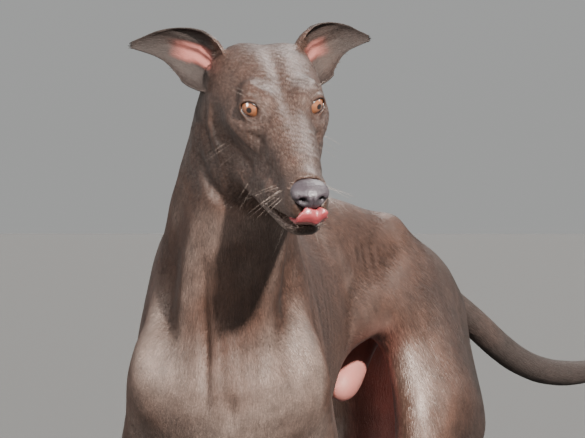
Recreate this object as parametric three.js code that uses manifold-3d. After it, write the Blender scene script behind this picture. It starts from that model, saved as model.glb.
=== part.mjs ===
// A greyhound, standing, life size, as a museum shows it: the head is turned to the animal's left,
// the ears are thrown out sideways, and the tongue licks the nose.
//
// Millimetres. +Z is up, the animal faces +X, its left side is +Y, and the paws stand on z = 0.
// The body is first shaped straight, as rounded muscles that run into each other round a trunk, then
// parted with thin cuts into head, neck, torso, legs and tail, and last bent sideways along the loins.
import * as THREE from "three";
import { mergeVertices } from "three/addons/utils/BufferGeometryUtils.js";
import Module from "manifold-3d";

const wasm = await Module();
wasm.setup();

// Driving dimensions of the straight body.
const WITHERS = 705; // height of the back over the shoulder blades
const HALF_GAP = 0.15; // half of the thin cut between two pieces
const ROOM = 0.45; // how far a piece's room in its neighbour stands off it
const LOIN_FRONT = -60; // the spine bends sideways from here
const LOIN_BACK = -350; // to here
const SIDE_BEND = 30; // degrees between the chest and the hips
const HEAD_AT = [282, 51, 771]; // the point between the eyes
const HEAD_PITCH = 26; // degrees that the muzzle points down
const HEAD_YAW = 12; // degrees that it turns left of the chest
const HEAD_ROLL = 3.5; // degrees that it leans to its right
const STRIDE = 140; // the right hind leg stands this much further back
const TUCK = 18; // and this much nearer to the middle
const SWING_TOP = 650; // its swing starts at this height
const SWING_FOOT = 455; // and is whole at this one
const EYE_AT = [0, 26, 8]; // centre of the left eyeball, in the head's frame
const EYE_RADIUS = 12;
const EAR_THICKNESS = 3;

const radians = THREE.MathUtils.degToRad;
const clamp = THREE.MathUtils.clamp;

// Curves along the body: a smooth value at each place from a few stops of [place, value].
function profile(stops) {
  const sorted = [...stops].sort((a, b) => a[0] - b[0]);
  const slope = (i) => {
    const a = sorted[Math.max(i - 1, 0)];
    const b = sorted[Math.min(i + 1, sorted.length - 1)];
    return (b[1] - a[1]) / (b[0] - a[0]);
  };
  return (x) => {
    const last = sorted.length - 1;
    if (x <= sorted[0][0]) return sorted[0][1];
    if (x >= sorted[last][0]) return sorted[last][1];
    let i = 0;
    while (x > sorted[i + 1][0]) i += 1;
    const [x0, y0] = sorted[i];
    const [x1, y1] = sorted[i + 1];
    const span = x1 - x0;
    const t = (x - x0) / span;
    const rise = t * t * (3 - 2 * t);
    const lean = span * t * (1 - t) * (slope(i) * (1 - t) - slope(i + 1) * t);
    return y0 + (y1 - y0) * rise + lean;
  };
}

// Forms are distance fields: below zero inside, above it outside.
const blend = (a, b, width) => {
  const near = Math.max(width - Math.abs(a - b), 0) / width;
  return Math.min(a, b) - near * near * width * 0.25;
};
const carve = (a, b, width) => -blend(-a, b, width);

// A tapering muscle between two points, its section narrowed or widened across the body.
function muscle(from, to, [r0, r1], flat = 1, width = 18) {
  const run = [to[0] - from[0], (to[1] - from[1]) / flat, to[2] - from[2]];
  const square = run[0] ** 2 + run[1] ** 2 + run[2] ** 2;
  const scale = Math.min(1, (1 + flat) / 2);
  const field = (x, y, z) => {
    const px = x - from[0];
    const py = (y - from[1]) / flat;
    const pz = z - from[2];
    const t = clamp((px * run[0] + py * run[1] + pz * run[2]) / square, 0, 1);
    const dx = px - run[0] * t;
    const dy = py - run[1] * t;
    const dz = pz - run[2] * t;
    return (Math.sqrt(dx * dx + dy * dy + dz * dz) - r0 - (r1 - r0) * t) * scale;
  };
  field.width = width;
  return field;
}

// A rounded swelling with three half sizes, turned by pitch degrees in the side view.
function swelling(centre, [a, b, c], pitch = 0, width = 18) {
  const cos = Math.cos(radians(pitch));
  const sin = Math.sin(radians(pitch));
  const least = Math.min(a, b, c);
  const field = (x, y, z) => {
    const px = x - centre[0];
    const pz = z - centre[2];
    const u = (px * cos - pz * sin) / a;
    const v = (y - centre[1]) / b;
    const w = (px * sin + pz * cos) / c;
    return (Math.sqrt(u * u + v * v + w * w) - 1) * least;
  };
  field.width = width;
  return field;
}

// A muscle along a smooth curve through stops of [x, y, z, radius], as short tapering lengths.
function strand(stops, lengths, flat = 1, width = 18) {
  const path = new THREE.CatmullRomCurve3(stops.map(([x, y, z]) => new THREE.Vector3(x, y, z)));
  const radius = profile(stops.map((stop, i) => [i / (stops.length - 1), stop[3]]));
  const pieces = [];
  for (let i = 0; i < lengths; i += 1) {
    const [s, t] = [i / lengths, (i + 1) / lengths];
    const ends = [path.getPoint(s).toArray(), path.getPoint(t).toArray()];
    pieces.push(muscle(ends[0], ends[1], [radius(s), radius(t)], flat));
  }
  const field = (x, y, z) => {
    let least = Infinity;
    for (const piece of pieces) least = Math.min(least, piece(x, y, z));
    return least;
  };
  field.width = width;
  return field;
}

// A long form with a section at each place along X, from curves of its top, bottom and half width.
function sections({ top, bottom, half, widest, power, ends }) {
  return (x, y, z) => {
    const at = clamp(x, ends[0], ends[1]);
    const low = bottom(at);
    const high = top(at);
    const middle = low + (high - low) * widest;
    const v = z > middle ? (z - middle) / (high - middle) : (middle - z) / (middle - low);
    const u = Math.abs(y) / half(at);
    const ratio = Math.max((u ** power + v ** power) ** (1 / power), 0.05);
    const reach = Math.sqrt(y * y + (z - middle) ** 2);
    const across = ratio > 0.051 ? reach * (1 - 1 / ratio) : -half(at);
    const past = Math.abs(x - at);
    return past > 0 ? Math.sqrt(past * past + Math.max(across, 0) ** 2) + Math.min(across, 0) * 0.1 : across;
  };
}

const join = (first, rest) => (x, y, z) => {
  let total = first(x, y, z);
  for (const field of rest) total = blend(total, field(x, y, z), field.width);
  return total;
};

// The trunk: a deep rib cage, an arched loin, a strongly tucked belly and a falling croup.
const trunk = sections({
  top: profile([
    [168, 545], [150, 580], [115, 628], [70, 672], [20, 698], [-30, WITHERS], [-90, 700],
    [-160, 692], [-230, 692], [-300, 697], [-360, 697], [-430, 686], [-500, 662], [-560, 632], [-612, 592],
  ]),
  bottom: profile([
    [168, 480], [150, 455], [115, 424], [70, 396], [20, 378], [-30, 372], [-90, 374], [-160, 388],
    [-230, 420], [-300, 468], [-360, 515], [-430, 545], [-500, 552], [-560, 556], [-612, 568],
  ]),
  half: profile([
    [168, 12], [150, 32], [115, 51], [70, 65], [20, 75], [-30, 82], [-90, 88], [-160, 92],
    [-230, 86], [-300, 74], [-360, 62], [-430, 54], [-500, 50], [-560, 44], [-612, 24],
  ]),
  widest: 0.45,
  power: 2.1,
  ends: [-611, 167],
});

// Muscles of the left side, mirrored onto the right.
const SHOULDER = [
  muscle([-35, 30, 672], [92, 64, 540], [28, 40], 0.62, 30), // shoulder blade
  muscle([-62, 44, 632], [-30, 78, 470], [34, 36], 0.72, 34), // triceps
  muscle([102, 61, 516], [-18, 82, 425], [41, 32], 0.86, 26), // upper arm
  muscle([124, 27, 512], [56, 44, 430], [37, 32], 0.95, 22), // breast
  muscle([64, 40, 432], [-6, 70, 400], [24, 22], 1, 24), // under the arm
];
const FORELEG = [
  strand([
    [-24, 81, 425, 32], [-20, 80, 380, 29], [-10, 78, 300, 22], [-4, 76, 220, 18], [-2, 75, 172, 18.5],
  ], 8, 0.84, 20),
  muscle([-46, 80, 424], [-34, 80, 398], [15, 16], 0.8, 18), // point of the elbow
  strand([[-2, 75, 176, 17], [0, 75, 140, 14.5], [4, 75, 100, 14], [10, 75, 62, 15.5]], 5, 1.12, 10),
  muscle([-19, 77, 165], [-13, 77, 148], [7, 6], 1, 10), // stopper pad
];
const HAUNCH = [
  // loin
  strand([
    [-190, 25, 664, 20], [-290, 28, 670, 25], [-380, 29, 666, 24], [-450, 30, 646, 20],
  ], 6, 1, 24),
  swelling([-440, 43, 663], [24, 12, 10], 30, 28), // hip bone
  muscle([-474, 38, 628], [-526, 44, 592], [33, 39], 0.72, 28), // rump
  muscle([-588, 32, 586], [-572, 42, 574], [19, 22], 0.8, 24), // point of the buttock
];
const FLANK = [
  muscle([-340, 56, 566], [-426, 64, 580], [15, 24], 0.6, 34), // fold
];
const THIGH = [
  muscle([-456, 48, 606], [-446, 86, 470], [34, 31], 0.68, 26), // front of the thigh
  muscle([-500, 52, 588], [-488, 90, 476], [51, 52], 0.66, 26), // middle
  muscle([-556, 48, 570], [-528, 90, 452], [33, 33], 0.74, 24), // back of the thigh
  muscle([-450, 88, 466], [-446, 90, 418], [32, 31], 0.74, 22), // knee
];
const SHANK = [
  strand([[-446, 90, 430, 31], [-504, 89, 366, 27], [-582, 85, 296, 20], [-650, 80, 236, 15.5]], 7, 0.86, 20),
  // calf
  strand([
    [-484, 88, 420, 33], [-542, 87, 352, 28], [-604, 83, 292, 17], [-668, 80, 246, 8],
  ], 7, 0.72, 18),
  // tendon
  strand([
    [-538, 86, 440, 20], [-590, 85, 350, 13], [-640, 81, 284, 8], [-680, 80, 244, 8],
  ], 6, 0.6, 12),
];
const HIND_FOOT = [
  muscle([-660, 80, 226], [-664, 80, 188], [18, 17], 0.85, 14), // hock
  muscle([-684, 80, 244], [-678, 80, 196], [10, 12], 0.85, 12), // point of the hock
  strand([[-664, 80, 190, 16], [-658, 80, 140, 13.5], [-652, 80, 90, 13], [-644, 80, 56, 15]], 6, 1, 10),
];

// Four toes on a paw, the middle two longer, with the pad behind them.
const TOES = [
  { side: -20, reach: 40, height: 19, radius: 10.5 },
  { side: -7.5, reach: 58, height: 21, radius: 11 },
  { side: 7.5, reach: 58, height: 21, radius: 11 },
  { side: 20, reach: 40, height: 19, radius: 10.5 },
];
function paw(heel, length) {
  const [hx, hy] = heel;
  const forms = [
    muscle([hx, hy, 58], [hx + 14, hy, 30], [15, 17], 1.1, 12),
    muscle([hx + 4, hy, 15], [hx + 20, hy, 13], [14, 15], 1.25, 8),
  ];
  for (const toe of TOES) {
    const tip = hx + toe.reach * length;
    const knuckle = [tip - 18, hy + toe.side * 0.95, toe.height + 7];
    forms.push(muscle([hx + 12, hy + toe.side * 0.6, 34], knuckle, [12, toe.radius], 1, 7));
    forms.push(muscle(knuckle, [tip, hy + toe.side * 1.1, 10], [toe.radius, toe.radius - 1.5], 1, 6));
  }
  return forms;
}
const FORE_PAW = paw([12, 75], 1);
const HIND_PAW = paw([-642, 80], 0.96);

// The sheath of a male, close under the belly.
const SHEATH = [
  strand([[-490, 0, 550, 15], [-464, 0, 532, 18], [-442, 0, 510, 21], [-428, 0, 497, 20.5]], 5, 0.92, 9),
];

// The tail hangs from the croup, levels out behind the hocks' height and lifts at its tip.
const TAIL_STOPS = [
  [-556, 0, 616, 24], [-606, 2, 602, 20], [-650, 11, 581, 17.5], [-690, 24, 556, 16.5], [-730, 36, 528, 16],
  [-775, 48, 508, 15.5], [-830, 60, 500, 15], [-900, 70, 503, 12.5], [-950, 76, 513, 9], [-978, 79, 521, 5],
];
const tail = strand(TAIL_STOPS, 18, 1, 22);

// The neck: from the withers and the breastbone up to the back of the head, curving to the left.
const NECK = [
  strand([
    [38, 0, 606, 84], [98, 3, 672, 73], [146, 10, 730, 60], [180, 17, 766, 54], [198, 23, 780, 46],
  ], 8, 0.84, 30),
  // left band
  strand([
    [130, 12, 520, 33], [146, 16, 590, 32], [178, 30, 660, 29], [212, 46, 712, 25],
  ], 6, 1, 26),
  // right band
  strand([
    [130, -12, 520, 33], [142, -16, 590, 33], [174, -6, 660, 29], [204, 12, 712, 25],
  ], 6, 1, 26),
];

// The head in its own frame: +X to the nose, +Z to the crown, the eyes at x = 0.
const skull = sections({
  top: profile([
    [-128, -8], [-118, 7], [-98, 20], [-70, 28], [-40, 29], [-15, 26], [8, 20], [35, 13],
    [70, 6], [100, 1], [125, -3], [142, -9],
  ]),
  bottom: profile([
    [-128, -40], [-118, -52], [-98, -58], [-70, -62], [-40, -64], [-15, -64], [8, -63], [35, -62],
    [70, -60], [100, -56], [125, -50], [142, -42],
  ]),
  half: profile([
    [-128, 18], [-118, 27], [-98, 36], [-70, 41], [-40, 41], [-15, 38], [8, 32], [35, 25],
    [70, 19.5], [100, 17], [125, 16.5], [142, 14],
  ]),
  widest: 0.42,
  power: 2.3,
  ends: [-127, 141],
});
const FACE = [
  muscle([14, 28, -11], [-24, 37, -15], [8, 9], 0.9, 14), // cheekbone, front
  muscle([-24, 37, -15], [-68, 38, -14], [9, 10], 0.9, 14), // cheekbone, back
  swelling([-50, 31, -38], [33, 14, 30], -20, 14), // jaw muscle
  swelling([-66, 23, 6], [38, 18, 15], 0, 20), // temple
  muscle([10, 18, 14], [-14, 28, 17], [6.5, 6.5], 1, 14), // brow
  muscle([24, 11, -5], [92, 8, -12], [13, 10], 0.9, 14), // bridge of the muzzle
  muscle([34, 19, -46], [74, 15, -44], [12, 12], 0.95, 10), // upper lip
  muscle([74, 15, -44], [122, 7, -36], [12, 10], 0.95, 10), // upper lip, front
  swelling([118, 6, -27], [20, 12, 14], 8, 8), // whisker cushion
];
const EAR_ROOT = [
  muscle([-96, 24, 6], [-104, 36, -8], [15, 13], 1, 14),
];
const JAW = [
  strand([
    [-44, 30, -58, 14], [0, 24, -62, 12], [40, 19, -64, 10], [80, 13, -62, 9], [108, 9, -58, 8.5],
    [122, 4, -55, 8.5],
  ], 8, 1, 8),
  // floor of the mouth
  strand([
    [-50, 0, -62, 16], [0, 0, -63, 13], [60, 0, -61, 11], [112, 0, -57, 9],
  ], 6, 1.3, 10),
];
const THROAT = [
  strand([[-92, 16, -46, 24], [-66, 11, -60, 22], [-30, 8, -70, 14], [6, 4, -71, 8]], 5, 1.3, 16),
];
// Both edges of the mouth's line from its corner forward, as [x, z] in the head's frame.
const UPPER_LIP = [[26, -61], [48, -60.5], [72, -57.5], [100, -52], [120, -46], [136, -40.5], [160, -36]];
const LOWER_LIP = [[26, -61], [48, -62], [72, -61], [100, -58], [118, -54.5], [134, -51], [160, -48]];
const JAW_BACK = [-14, -104]; // the jaw parts from the cheek from the corner of the mouth down to here

const mirrored = (fields) => {
  const joined = fields.map((field) => {
    const both = (x, y, z) => field(x, Math.abs(y), z);
    both.width = field.width;
    return both;
  });
  return joined;
};

// Where the head stands on the straight body, and back from there.
const headMatrix = new THREE.Matrix4().makeTranslation(...HEAD_AT).multiply(
  new THREE.Matrix4().makeRotationFromEuler(
    new THREE.Euler(radians(HEAD_ROLL), radians(HEAD_PITCH), radians(HEAD_YAW), "ZYX"),
  ),
);
const toHead = headMatrix.clone().invert().elements;
const inHead = (field) => {
  const e = toHead;
  const moved = (x, y, z) => field(
    e[0] * x + e[4] * y + e[8] * z + e[12],
    e[1] * x + e[5] * y + e[9] * z + e[13],
    e[2] * x + e[6] * y + e[10] * z + e[14],
  );
  moved.width = field.width;
  return moved;
};

// The right hind leg's form: swung back from the hip down to the knee, and moved back below it.
const swung = (fields) => {
  const joined = fields.map((field) => {
    const both = (x, y, z) => {
      if (y > 0) return field(x, y, z);
      const t = clamp((SWING_TOP - z) / (SWING_TOP - SWING_FOOT), 0, 1);
      const share = t * t * (3 - 2 * t);
      return field(x + STRIDE * share, -y + TUCK * share, z);
    };
    both.width = field.width;
    return both;
  });
  return joined;
};

const headForm = join(skull, mirrored([...FACE, ...EAR_ROOT, ...JAW]));
const throatForm = mirrored(THROAT)[0];
const bodyForm = join(trunk, [
  ...mirrored([...SHOULDER, ...FORELEG, ...FORE_PAW, ...HAUNCH, ...FLANK]),
  ...swung([...THIGH, ...SHANK, ...HIND_FOOT, ...HIND_PAW]),
  ...SHEATH,
]);

// The neck runs into the body and into the back of the head and jaw.
const whole = (() => {
  const headPlaced = inHead(headForm);
  headPlaced.width = 22;
  const throatPlaced = inHead(throatForm);
  throatPlaced.width = 26;
  return (x, y, z) => {
    let total = bodyForm(x, y, z);
    if (z > 430 && x > -120) {
      for (const field of NECK) total = blend(total, field(x, y, z), field.width);
      total = blend(total, headPlaced(x, y, z), headPlaced.width);
      total = blend(total, throatPlaced(x, y, z), throatPlaced.width);
    }
    return total;
  };
})();

const EDGE_MARGIN = 0.04; // a corner keeps this part of its cell's size from the cell's sides
const CLOSE_CORNERS = 0.03; // corners nearer than this are one
const SWEEPS = 8; // times that the corners are looked through
const LEAST_TURN = Math.cos(radians(35)); // a face near a corner that is taken out turns no further
const SLIVER = 0.06; // the least area of a face, as a part of its longest side squared

// The sheets of surface in a grid cell, from which of its eight points are inside: a label for each
// cell edge that the surface crosses, the same for edges that one sheet crosses.
const CELL_SIDES = [[0, 1, 3, 2], [4, 5, 7, 6], [0, 1, 5, 4], [2, 3, 7, 6], [0, 2, 6, 4], [1, 3, 7, 5]];
const edgeKey = (a, b) => (Math.min(a, b) << 3) + Math.max(a, b);
const knownSheets = new Map();
function sheetsOf(pattern) {
  if (knownSheets.has(pattern)) return knownSheets.get(pattern);
  const within = (n) => ((pattern >> n) & 1) === 1;
  const labels = new Map();
  let next = 0;
  for (const side of CELL_SIDES) {
    const crossed = side.map((n, i) => [n, side[(i + 1) % 4]]).filter(([a, b]) => within(a) !== within(b));
    for (const [a, b] of crossed) {
      const key = edgeKey(a, b);
      if (!labels.has(key)) labels.set(key, next++);
    }
    for (const [a, b] of crossed) {
      for (const [c, d] of crossed) {
        const inner = within(a) ? a : b;
        if (crossed.length === 4 && inner !== c && inner !== d) continue;
        const [from, to] = [labels.get(edgeKey(a, b)), labels.get(edgeKey(c, d))];
        for (const [key, label] of labels) if (label === from) labels.set(key, to);
      }
    }
  }
  const order = [...new Set(labels.values())];
  for (const [key, label] of labels) labels.set(key, order.indexOf(label));
  knownSheets.set(pattern, labels);
  return labels;
}

// Turns a field into a closed mesh: a corner for each sheet of the surface in each grid cell, drawn
// onto the surface, and one quad across each grid edge that it crosses.
function skinOf(field, low, high, cell, tolerance) {
  const counts = low.map((v, i) => Math.max(3, Math.round((high[i] - v) / cell[i])));
  const step = counts.map((n, i) => (high[i] - low[i]) / n);
  const [nx, ny, nz] = counts.map((n) => n + 1);
  const index = (i, j, k) => (k * ny + j) * nx + i;
  const values = new Float64Array(nx * ny * nz);
  const inside = (i, n) => i > 0 && i < n - 1; // the outermost grid points count as outside
  for (let k = 0; k < nz; k += 1) {
    for (let j = 0; j < ny; j += 1) {
      for (let i = 0; i < nx; i += 1) {
        const open = inside(i, nx) && inside(j, ny) && inside(k, nz);
        const found = field(low[0] + i * step[0], low[1] + j * step[1], low[2] + k * step[2]);
        values[index(i, j, k)] = open ? found : Math.max(found, 0.5);
      }
    }
  }
  const corners = [];
  const cornerOf = new Map();
  const nudge = 0.05;
  const settle = (p, cellLow) => {
    for (let turn = 0; turn < 3; turn += 1) {
      const f = field(...p);
      const g = [0, 1, 2].map((axis) => {
        const q = [...p];
        q[axis] += nudge;
        return (field(...q) - f) / nudge;
      });
      const square = g[0] ** 2 + g[1] ** 2 + g[2] ** 2 || 1;
      for (let axis = 0; axis < 3; axis += 1) {
        const from = cellLow[axis] + EDGE_MARGIN * step[axis];
        const to = cellLow[axis] + (1 - EDGE_MARGIN) * step[axis];
        p[axis] = clamp(p[axis] - (f * g[axis]) / square, from, to);
      }
    }
    return p;
  };
  // The corner, in a cell, of the sheet that crosses the grid edge from one grid point to the next.
  const corner = (cellAt, from, to) => {
    const bit = (p) => (p[0] - cellAt[0]) + 2 * (p[1] - cellAt[1]) + 4 * (p[2] - cellAt[2]);
    const pointAt = (n) => [cellAt[0] + (n & 1), cellAt[1] + ((n >> 1) & 1), cellAt[2] + (n >> 2)];
    let pattern = 0;
    for (let n = 0; n < 8; n += 1) if (values[index(...pointAt(n))] < 0) pattern += 1 << n;
    const sheets = sheetsOf(pattern);
    const sheet = sheets.get(edgeKey(bit(from), bit(to)));
    const key = index(...cellAt) * 4 + sheet;
    if (cornerOf.has(key)) return cornerOf.get(key);
    const sum = [0, 0, 0];
    let found = 0;
    for (const [edge, label] of sheets) {
      if (label !== sheet) continue;
      const [a, b] = [pointAt(edge >> 3), pointAt(edge & 7)];
      const [va, vb] = [values[index(...a)], values[index(...b)]];
      const t = va / (va - vb);
      for (let axis = 0; axis < 3; axis += 1) sum[axis] += a[axis] + t * (b[axis] - a[axis]);
      found += 1;
    }
    const home = sum.map((v, axis) => low[axis] + (v / found) * step[axis]);
    const atEdge = cellAt.some((n, axis) => n < 1 || n > counts[axis] - 2);
    corners.push(...(atEdge ? home : settle(home, cellAt.map((n, axis) => low[axis] + n * step[axis]))));
    cornerOf.set(key, corners.length / 3 - 1);
    return corners.length / 3 - 1;
  };
  const faces = [];
  const span = (p, q) => Math.hypot(...[0, 1, 2].map((n) => corners[3 * p + n] - corners[3 * q + n]));
  // One quad across the grid edge that runs from a point along an axis.
  const quad = (from, axis) => {
    const to = from.map((n, i) => n + (i === axis ? 1 : 0));
    const here = values[index(...from)] < 0;
    if (here === values[index(...to)] < 0) return;
    const [p, q] = [(axis + 1) % 3, (axis + 2) % 3];
    const ring = [[-1, -1], [0, -1], [0, 0], [-1, 0]].map(([dp, dq]) => {
      const cellAt = [...from];
      cellAt[p] += dp;
      cellAt[q] += dq;
      return corner(cellAt, from, to);
    });
    const [a, b, c, d] = here ? ring : ring.reverse();
    if (span(a, c) < span(b, d)) faces.push(a, b, c, a, c, d);
    else faces.push(a, b, d, b, c, d);
  };
  for (let k = 0; k < nz - 1; k += 1) {
    for (let j = 0; j < ny - 1; j += 1) {
      for (let i = 0; i < nx - 1; i += 1) for (const axis of [0, 1, 2]) quad([i, j, k], axis);
    }
  }
  return closed(thinned(corners, faces, tolerance));
}

// Takes out the corners that a surface hardly needs. Each goes to the neighbour where the faces round
// it move least, as long as they stay within the tolerance, keep their side and don't become slivers.
function thinned(corners, faces, tolerance) {
  const points = [];
  for (let i = 0; i < corners.length; i += 3) points.push(new THREE.Vector3().fromArray(corners, i));
  const triangles = [];
  const round = points.map(() => new Set());
  for (let i = 0; i < faces.length; i += 3) {
    triangles.push(faces.slice(i, i + 3));
    for (const v of triangles.at(-1)) round[v].add(triangles.length - 1);
  }
  const moved = points.map(() => 0);
  const neighbours = (v) => {
    const ring = new Set();
    for (const t of round[v]) for (const u of triangles[t]) if (u !== v) ring.add(u);
    return ring;
  };
  const plane = new THREE.Plane();
  const side = new THREE.Plane();
  // How far the surface moves if corner v goes to corner u, or Infinity where it must not.
  const cost = (v, u, ring) => {
    let shared = 0;
    for (const w of neighbours(u)) if (ring.has(w)) shared += 1;
    if (shared !== 2) return Infinity;
    let worst = 0;
    for (const t of round[v]) {
      if (triangles[t].includes(u)) continue;
      const [a, b, c] = triangles[t].map((w) => points[w]);
      const [p, q, r] = triangles[t].map((w) => points[w === v ? u : w]);
      side.setFromCoplanarPoints(a, b, c);
      plane.setFromCoplanarPoints(p, q, r);
      const longest = Math.max(p.distanceToSquared(q), q.distanceToSquared(r), r.distanceToSquared(p));
      const area = new THREE.Triangle(p, q, r).getArea();
      if (plane.normal.dot(side.normal) < LEAST_TURN || area < SLIVER * longest) return Infinity;
      worst = Math.max(worst, Math.abs(plane.distanceToPoint(points[v])));
    }
    return worst + moved[v];
  };
  for (let sweep = 1; sweep <= SWEEPS; sweep += 1) {
    for (let v = 0; v < points.length; v += 1) {
      const ring = neighbours(v);
      let least = (tolerance * sweep) / SWEEPS;
      let target = -1;
      for (const u of ring) {
        const found = cost(v, u, ring);
        if (found < least) [least, target] = [found, u];
      }
      if (target < 0) continue;
      moved[target] = Math.max(moved[target], least);
      for (const t of round[v]) {
        if (triangles[t].includes(target)) for (const w of triangles[t]) round[w].delete(t);
        else round[target].add(t);
        triangles[t] = triangles[t].map((w) => (w === v ? target : w));
      }
      round[v].clear();
    }
  }
  const kept = triangles.filter(([a, b, c], t) => round[a].has(t) && a !== b && b !== c && c !== a);
  return mergeVertices(
    new THREE.BufferGeometry().setAttribute(
      "position",
      new THREE.Float32BufferAttribute(kept.flat().flatMap((v) => points[v].toArray()), 3),
    ),
    1e-3,
  );
}

// Joins and cuts.
function facingOut(corners, faces) {
  const geometry = (order) => new THREE.BufferGeometry()
    .setAttribute("position", new THREE.Float32BufferAttribute(corners, 3))
    .setIndex(order);
  const solid = closed(geometry(faces));
  return solid.volume() > 0 ? solid : closed(geometry([...faces].reverse()));
}
const closed = (geometry) => new wasm.Manifold(
  new wasm.Mesh({
    numProp: 3,
    vertProperties: geometry.attributes.position.array,
    triVerts: new Uint32Array(geometry.index.array),
  }),
);
function solidOf(geometry) {
  const plain = geometry.index ? geometry.toNonIndexed() : geometry.clone();
  for (const name of Object.keys(plain.attributes)) if (name !== "position") plain.deleteAttribute(name);
  return closed(mergeVertices(plain, 1e-3));
}
// The same solid with every corner pushed out along its normal.
function grown(solid, by) {
  const { vertProperties, triVerts } = solid.getMesh();
  const geometry = new THREE.BufferGeometry()
    .setAttribute("position", new THREE.Float32BufferAttribute(vertProperties, 3))
    .setIndex(new THREE.Uint32BufferAttribute(triVerts, 1));
  geometry.computeVertexNormals();
  const { position, normal } = geometry.attributes;
  for (let i = 0; i < position.array.length; i += 1) position.array[i] += by * normal.array[i];
  return closed(geometry);
}
const largest = (solid) => solid.decompose().sort((a, b) => b.volume() - a.volume())[0];
// Keeps the side of a plane that its normal points to, from so far beyond the plane.
const keep = (solid, normal, point, from) => {
  const n = new THREE.Vector3(...normal).normalize();
  return solid.trimByPlane(n.toArray(), n.dot(new THREE.Vector3(...point)) + from);
};
const away = (normal) => normal.map((v) => -v);
const block = (low, high) => {
  const size = high.map((v, i) => v - low[i]);
  const middle = high.map((v, i) => (v + low[i]) / 2);
  return solidOf(new THREE.BoxGeometry(...size).translate(...middle));
};

// The cuts, each a plane by its normal and one point.
const headDirection = (v) => new THREE.Vector3(...v).transformDirection(headMatrix).toArray();
const headPoint = (v) => new THREE.Vector3(...v).applyMatrix4(headMatrix).toArray();
const CUTS = {
  nape: { normal: headDirection([0.74, 0, 0.67]), point: headPoint([-118, 0, 10]) }, // head from neck
  collar: { normal: [0.74, 0, 0.67], point: [62, 0, 612] }, // neck from torso
  elbow: { normal: [0, 0.62, -0.78], point: [0, 60, 384] }, // foreleg from torso
  wrist: { normal: [0, 0, -1], point: [0, 75, 128] }, // forefoot from foreleg
  hip: { normal: [0, 0.9, -0.44], point: [-480, 24, 510] }, // hind leg from torso, at its side
  flank: { normal: [-0.87, 0, -0.49], point: [-372, 60, 500] }, // hind leg from torso, in front
  knee: { normal: [-0.17, 0, -0.98], point: [-460, 78, 424] }, // shank from thigh
  hock: { normal: [0, 0, -1], point: [-665, 75, 200] }, // hind foot from shank
  croup: { normal: [-0.8, 0, -0.6], point: [-590, 0, 600] }, // tail from torso
};
const beyondPlane = (solid, { normal, point }) => keep(solid, normal, point, HALF_GAP);
const beforePlane = (solid, { normal, point }) => keep(solid, away(normal), point, HALF_GAP);
const beyond = (solid, cut) => beyondPlane(solid, CUTS[cut]);
const before = (solid, cut) => beforePlane(solid, CUTS[cut]);
const roomBeyond = (solid, cut) => keep(solid, CUTS[cut].normal, CUTS[cut].point, -HALF_GAP);

// The side of the body: +1 is the animal's left.
const SIDES = { left: 1, right: -1 };
const mirror = (sign, solid) => (sign > 0 ? solid : solid.mirror([0, 1, 0]));

const solids = {};
const floorBlock = block([-2000, -500, -100], [1000, 500, 0]);

function legs() {
  const fore = skinOf(bodyForm, [-90, 24, 110], [62, 140, 470], [9, 9, 15], 1);
  const foreLow = skinOf(bodyForm, [-40, 32, -8], [94, 118, 150], [5.6, 4.8, 6], 0.9);
  const front = {
    foreleg: before(beyond(fore, "elbow"), "wrist"),
    forefoot: beyond(foreLow, "wrist").subtract(floorBlock),
  };
  for (const [side, sign] of Object.entries(SIDES)) {
    const form = (x, y, z) => bodyForm(x, y * sign, z);
    const [back, near] = sign > 0 ? [0, 0] : [STRIDE, TUCK];
    const lowest = (x, y, z) => [x - back, y - near, z];
    const thigh = skinOf(form, lowest(-660, -20, 380), [-330, 146, 690], [14, 12, 14], 1.4);
    const shank = skinOf(form, lowest(-724, 24, 180), [-380 - back, 142, 480], [11, 9, 11], 1.3);
    const footTop = [-564 - back, 124 - near, 226];
    const hindLow = skinOf(form, lowest(-712, 36, -8), footTop, [6, 5.2, 7.5], 0.9);
    const [knee, hock] = ["knee", "hock"].map((name) => {
      const { normal, point } = CUTS[name];
      return { normal, point: [point[0] - back, point[1], point[2]] };
    });
    const pieces = {
      ...front,
      thigh: beforePlane(beyond(beyond(thigh, "hip"), "flank"), knee),
      shank: beforePlane(beyond(beyondPlane(shank, knee), "flank"), hock),
      hind_foot: beyondPlane(hindLow, hock).subtract(floorBlock),
    };
    for (const [name, piece] of Object.entries(pieces)) {
      solids[`${name}_${side}`] = mirror(sign, largest(piece));
    }
  }
}

function trunkAndTail() {
  const tailSkin = skinOf(tail, [-970, -40, 470], [-540, 110, 670], [13, 7, 7], 1);
  solids.tail = largest(beyond(tailSkin, "croup"));
  const tailRoom = roomBeyond(grown(tailSkin, ROOM), "croup");
  let torso = skinOf(whole, [-640, -130, 340], [214, 130, 740], [17, 14, 15], 1.7);
  torso = before(torso, "collar");
  const legBlock = block([-900, 0, -50], [-200, 300, 900]);
  const thighRoom = roomBeyond(roomBeyond(legBlock, "hip"), "flank");
  const foreBlock = block([-120, 0, -50], [110, 300, 900]);
  const foreRoom = roomBeyond(foreBlock, "elbow");
  for (const room of [thighRoom, foreRoom]) {
    torso = torso.subtract(room).subtract(room.mirror([0, 1, 0]));
  }
  solids.torso = largest(torso.subtract(tailRoom));
  for (const name of ["thigh_left", "thigh_right"]) solids[name] = largest(solids[name].subtract(tailRoom));
}
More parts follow.
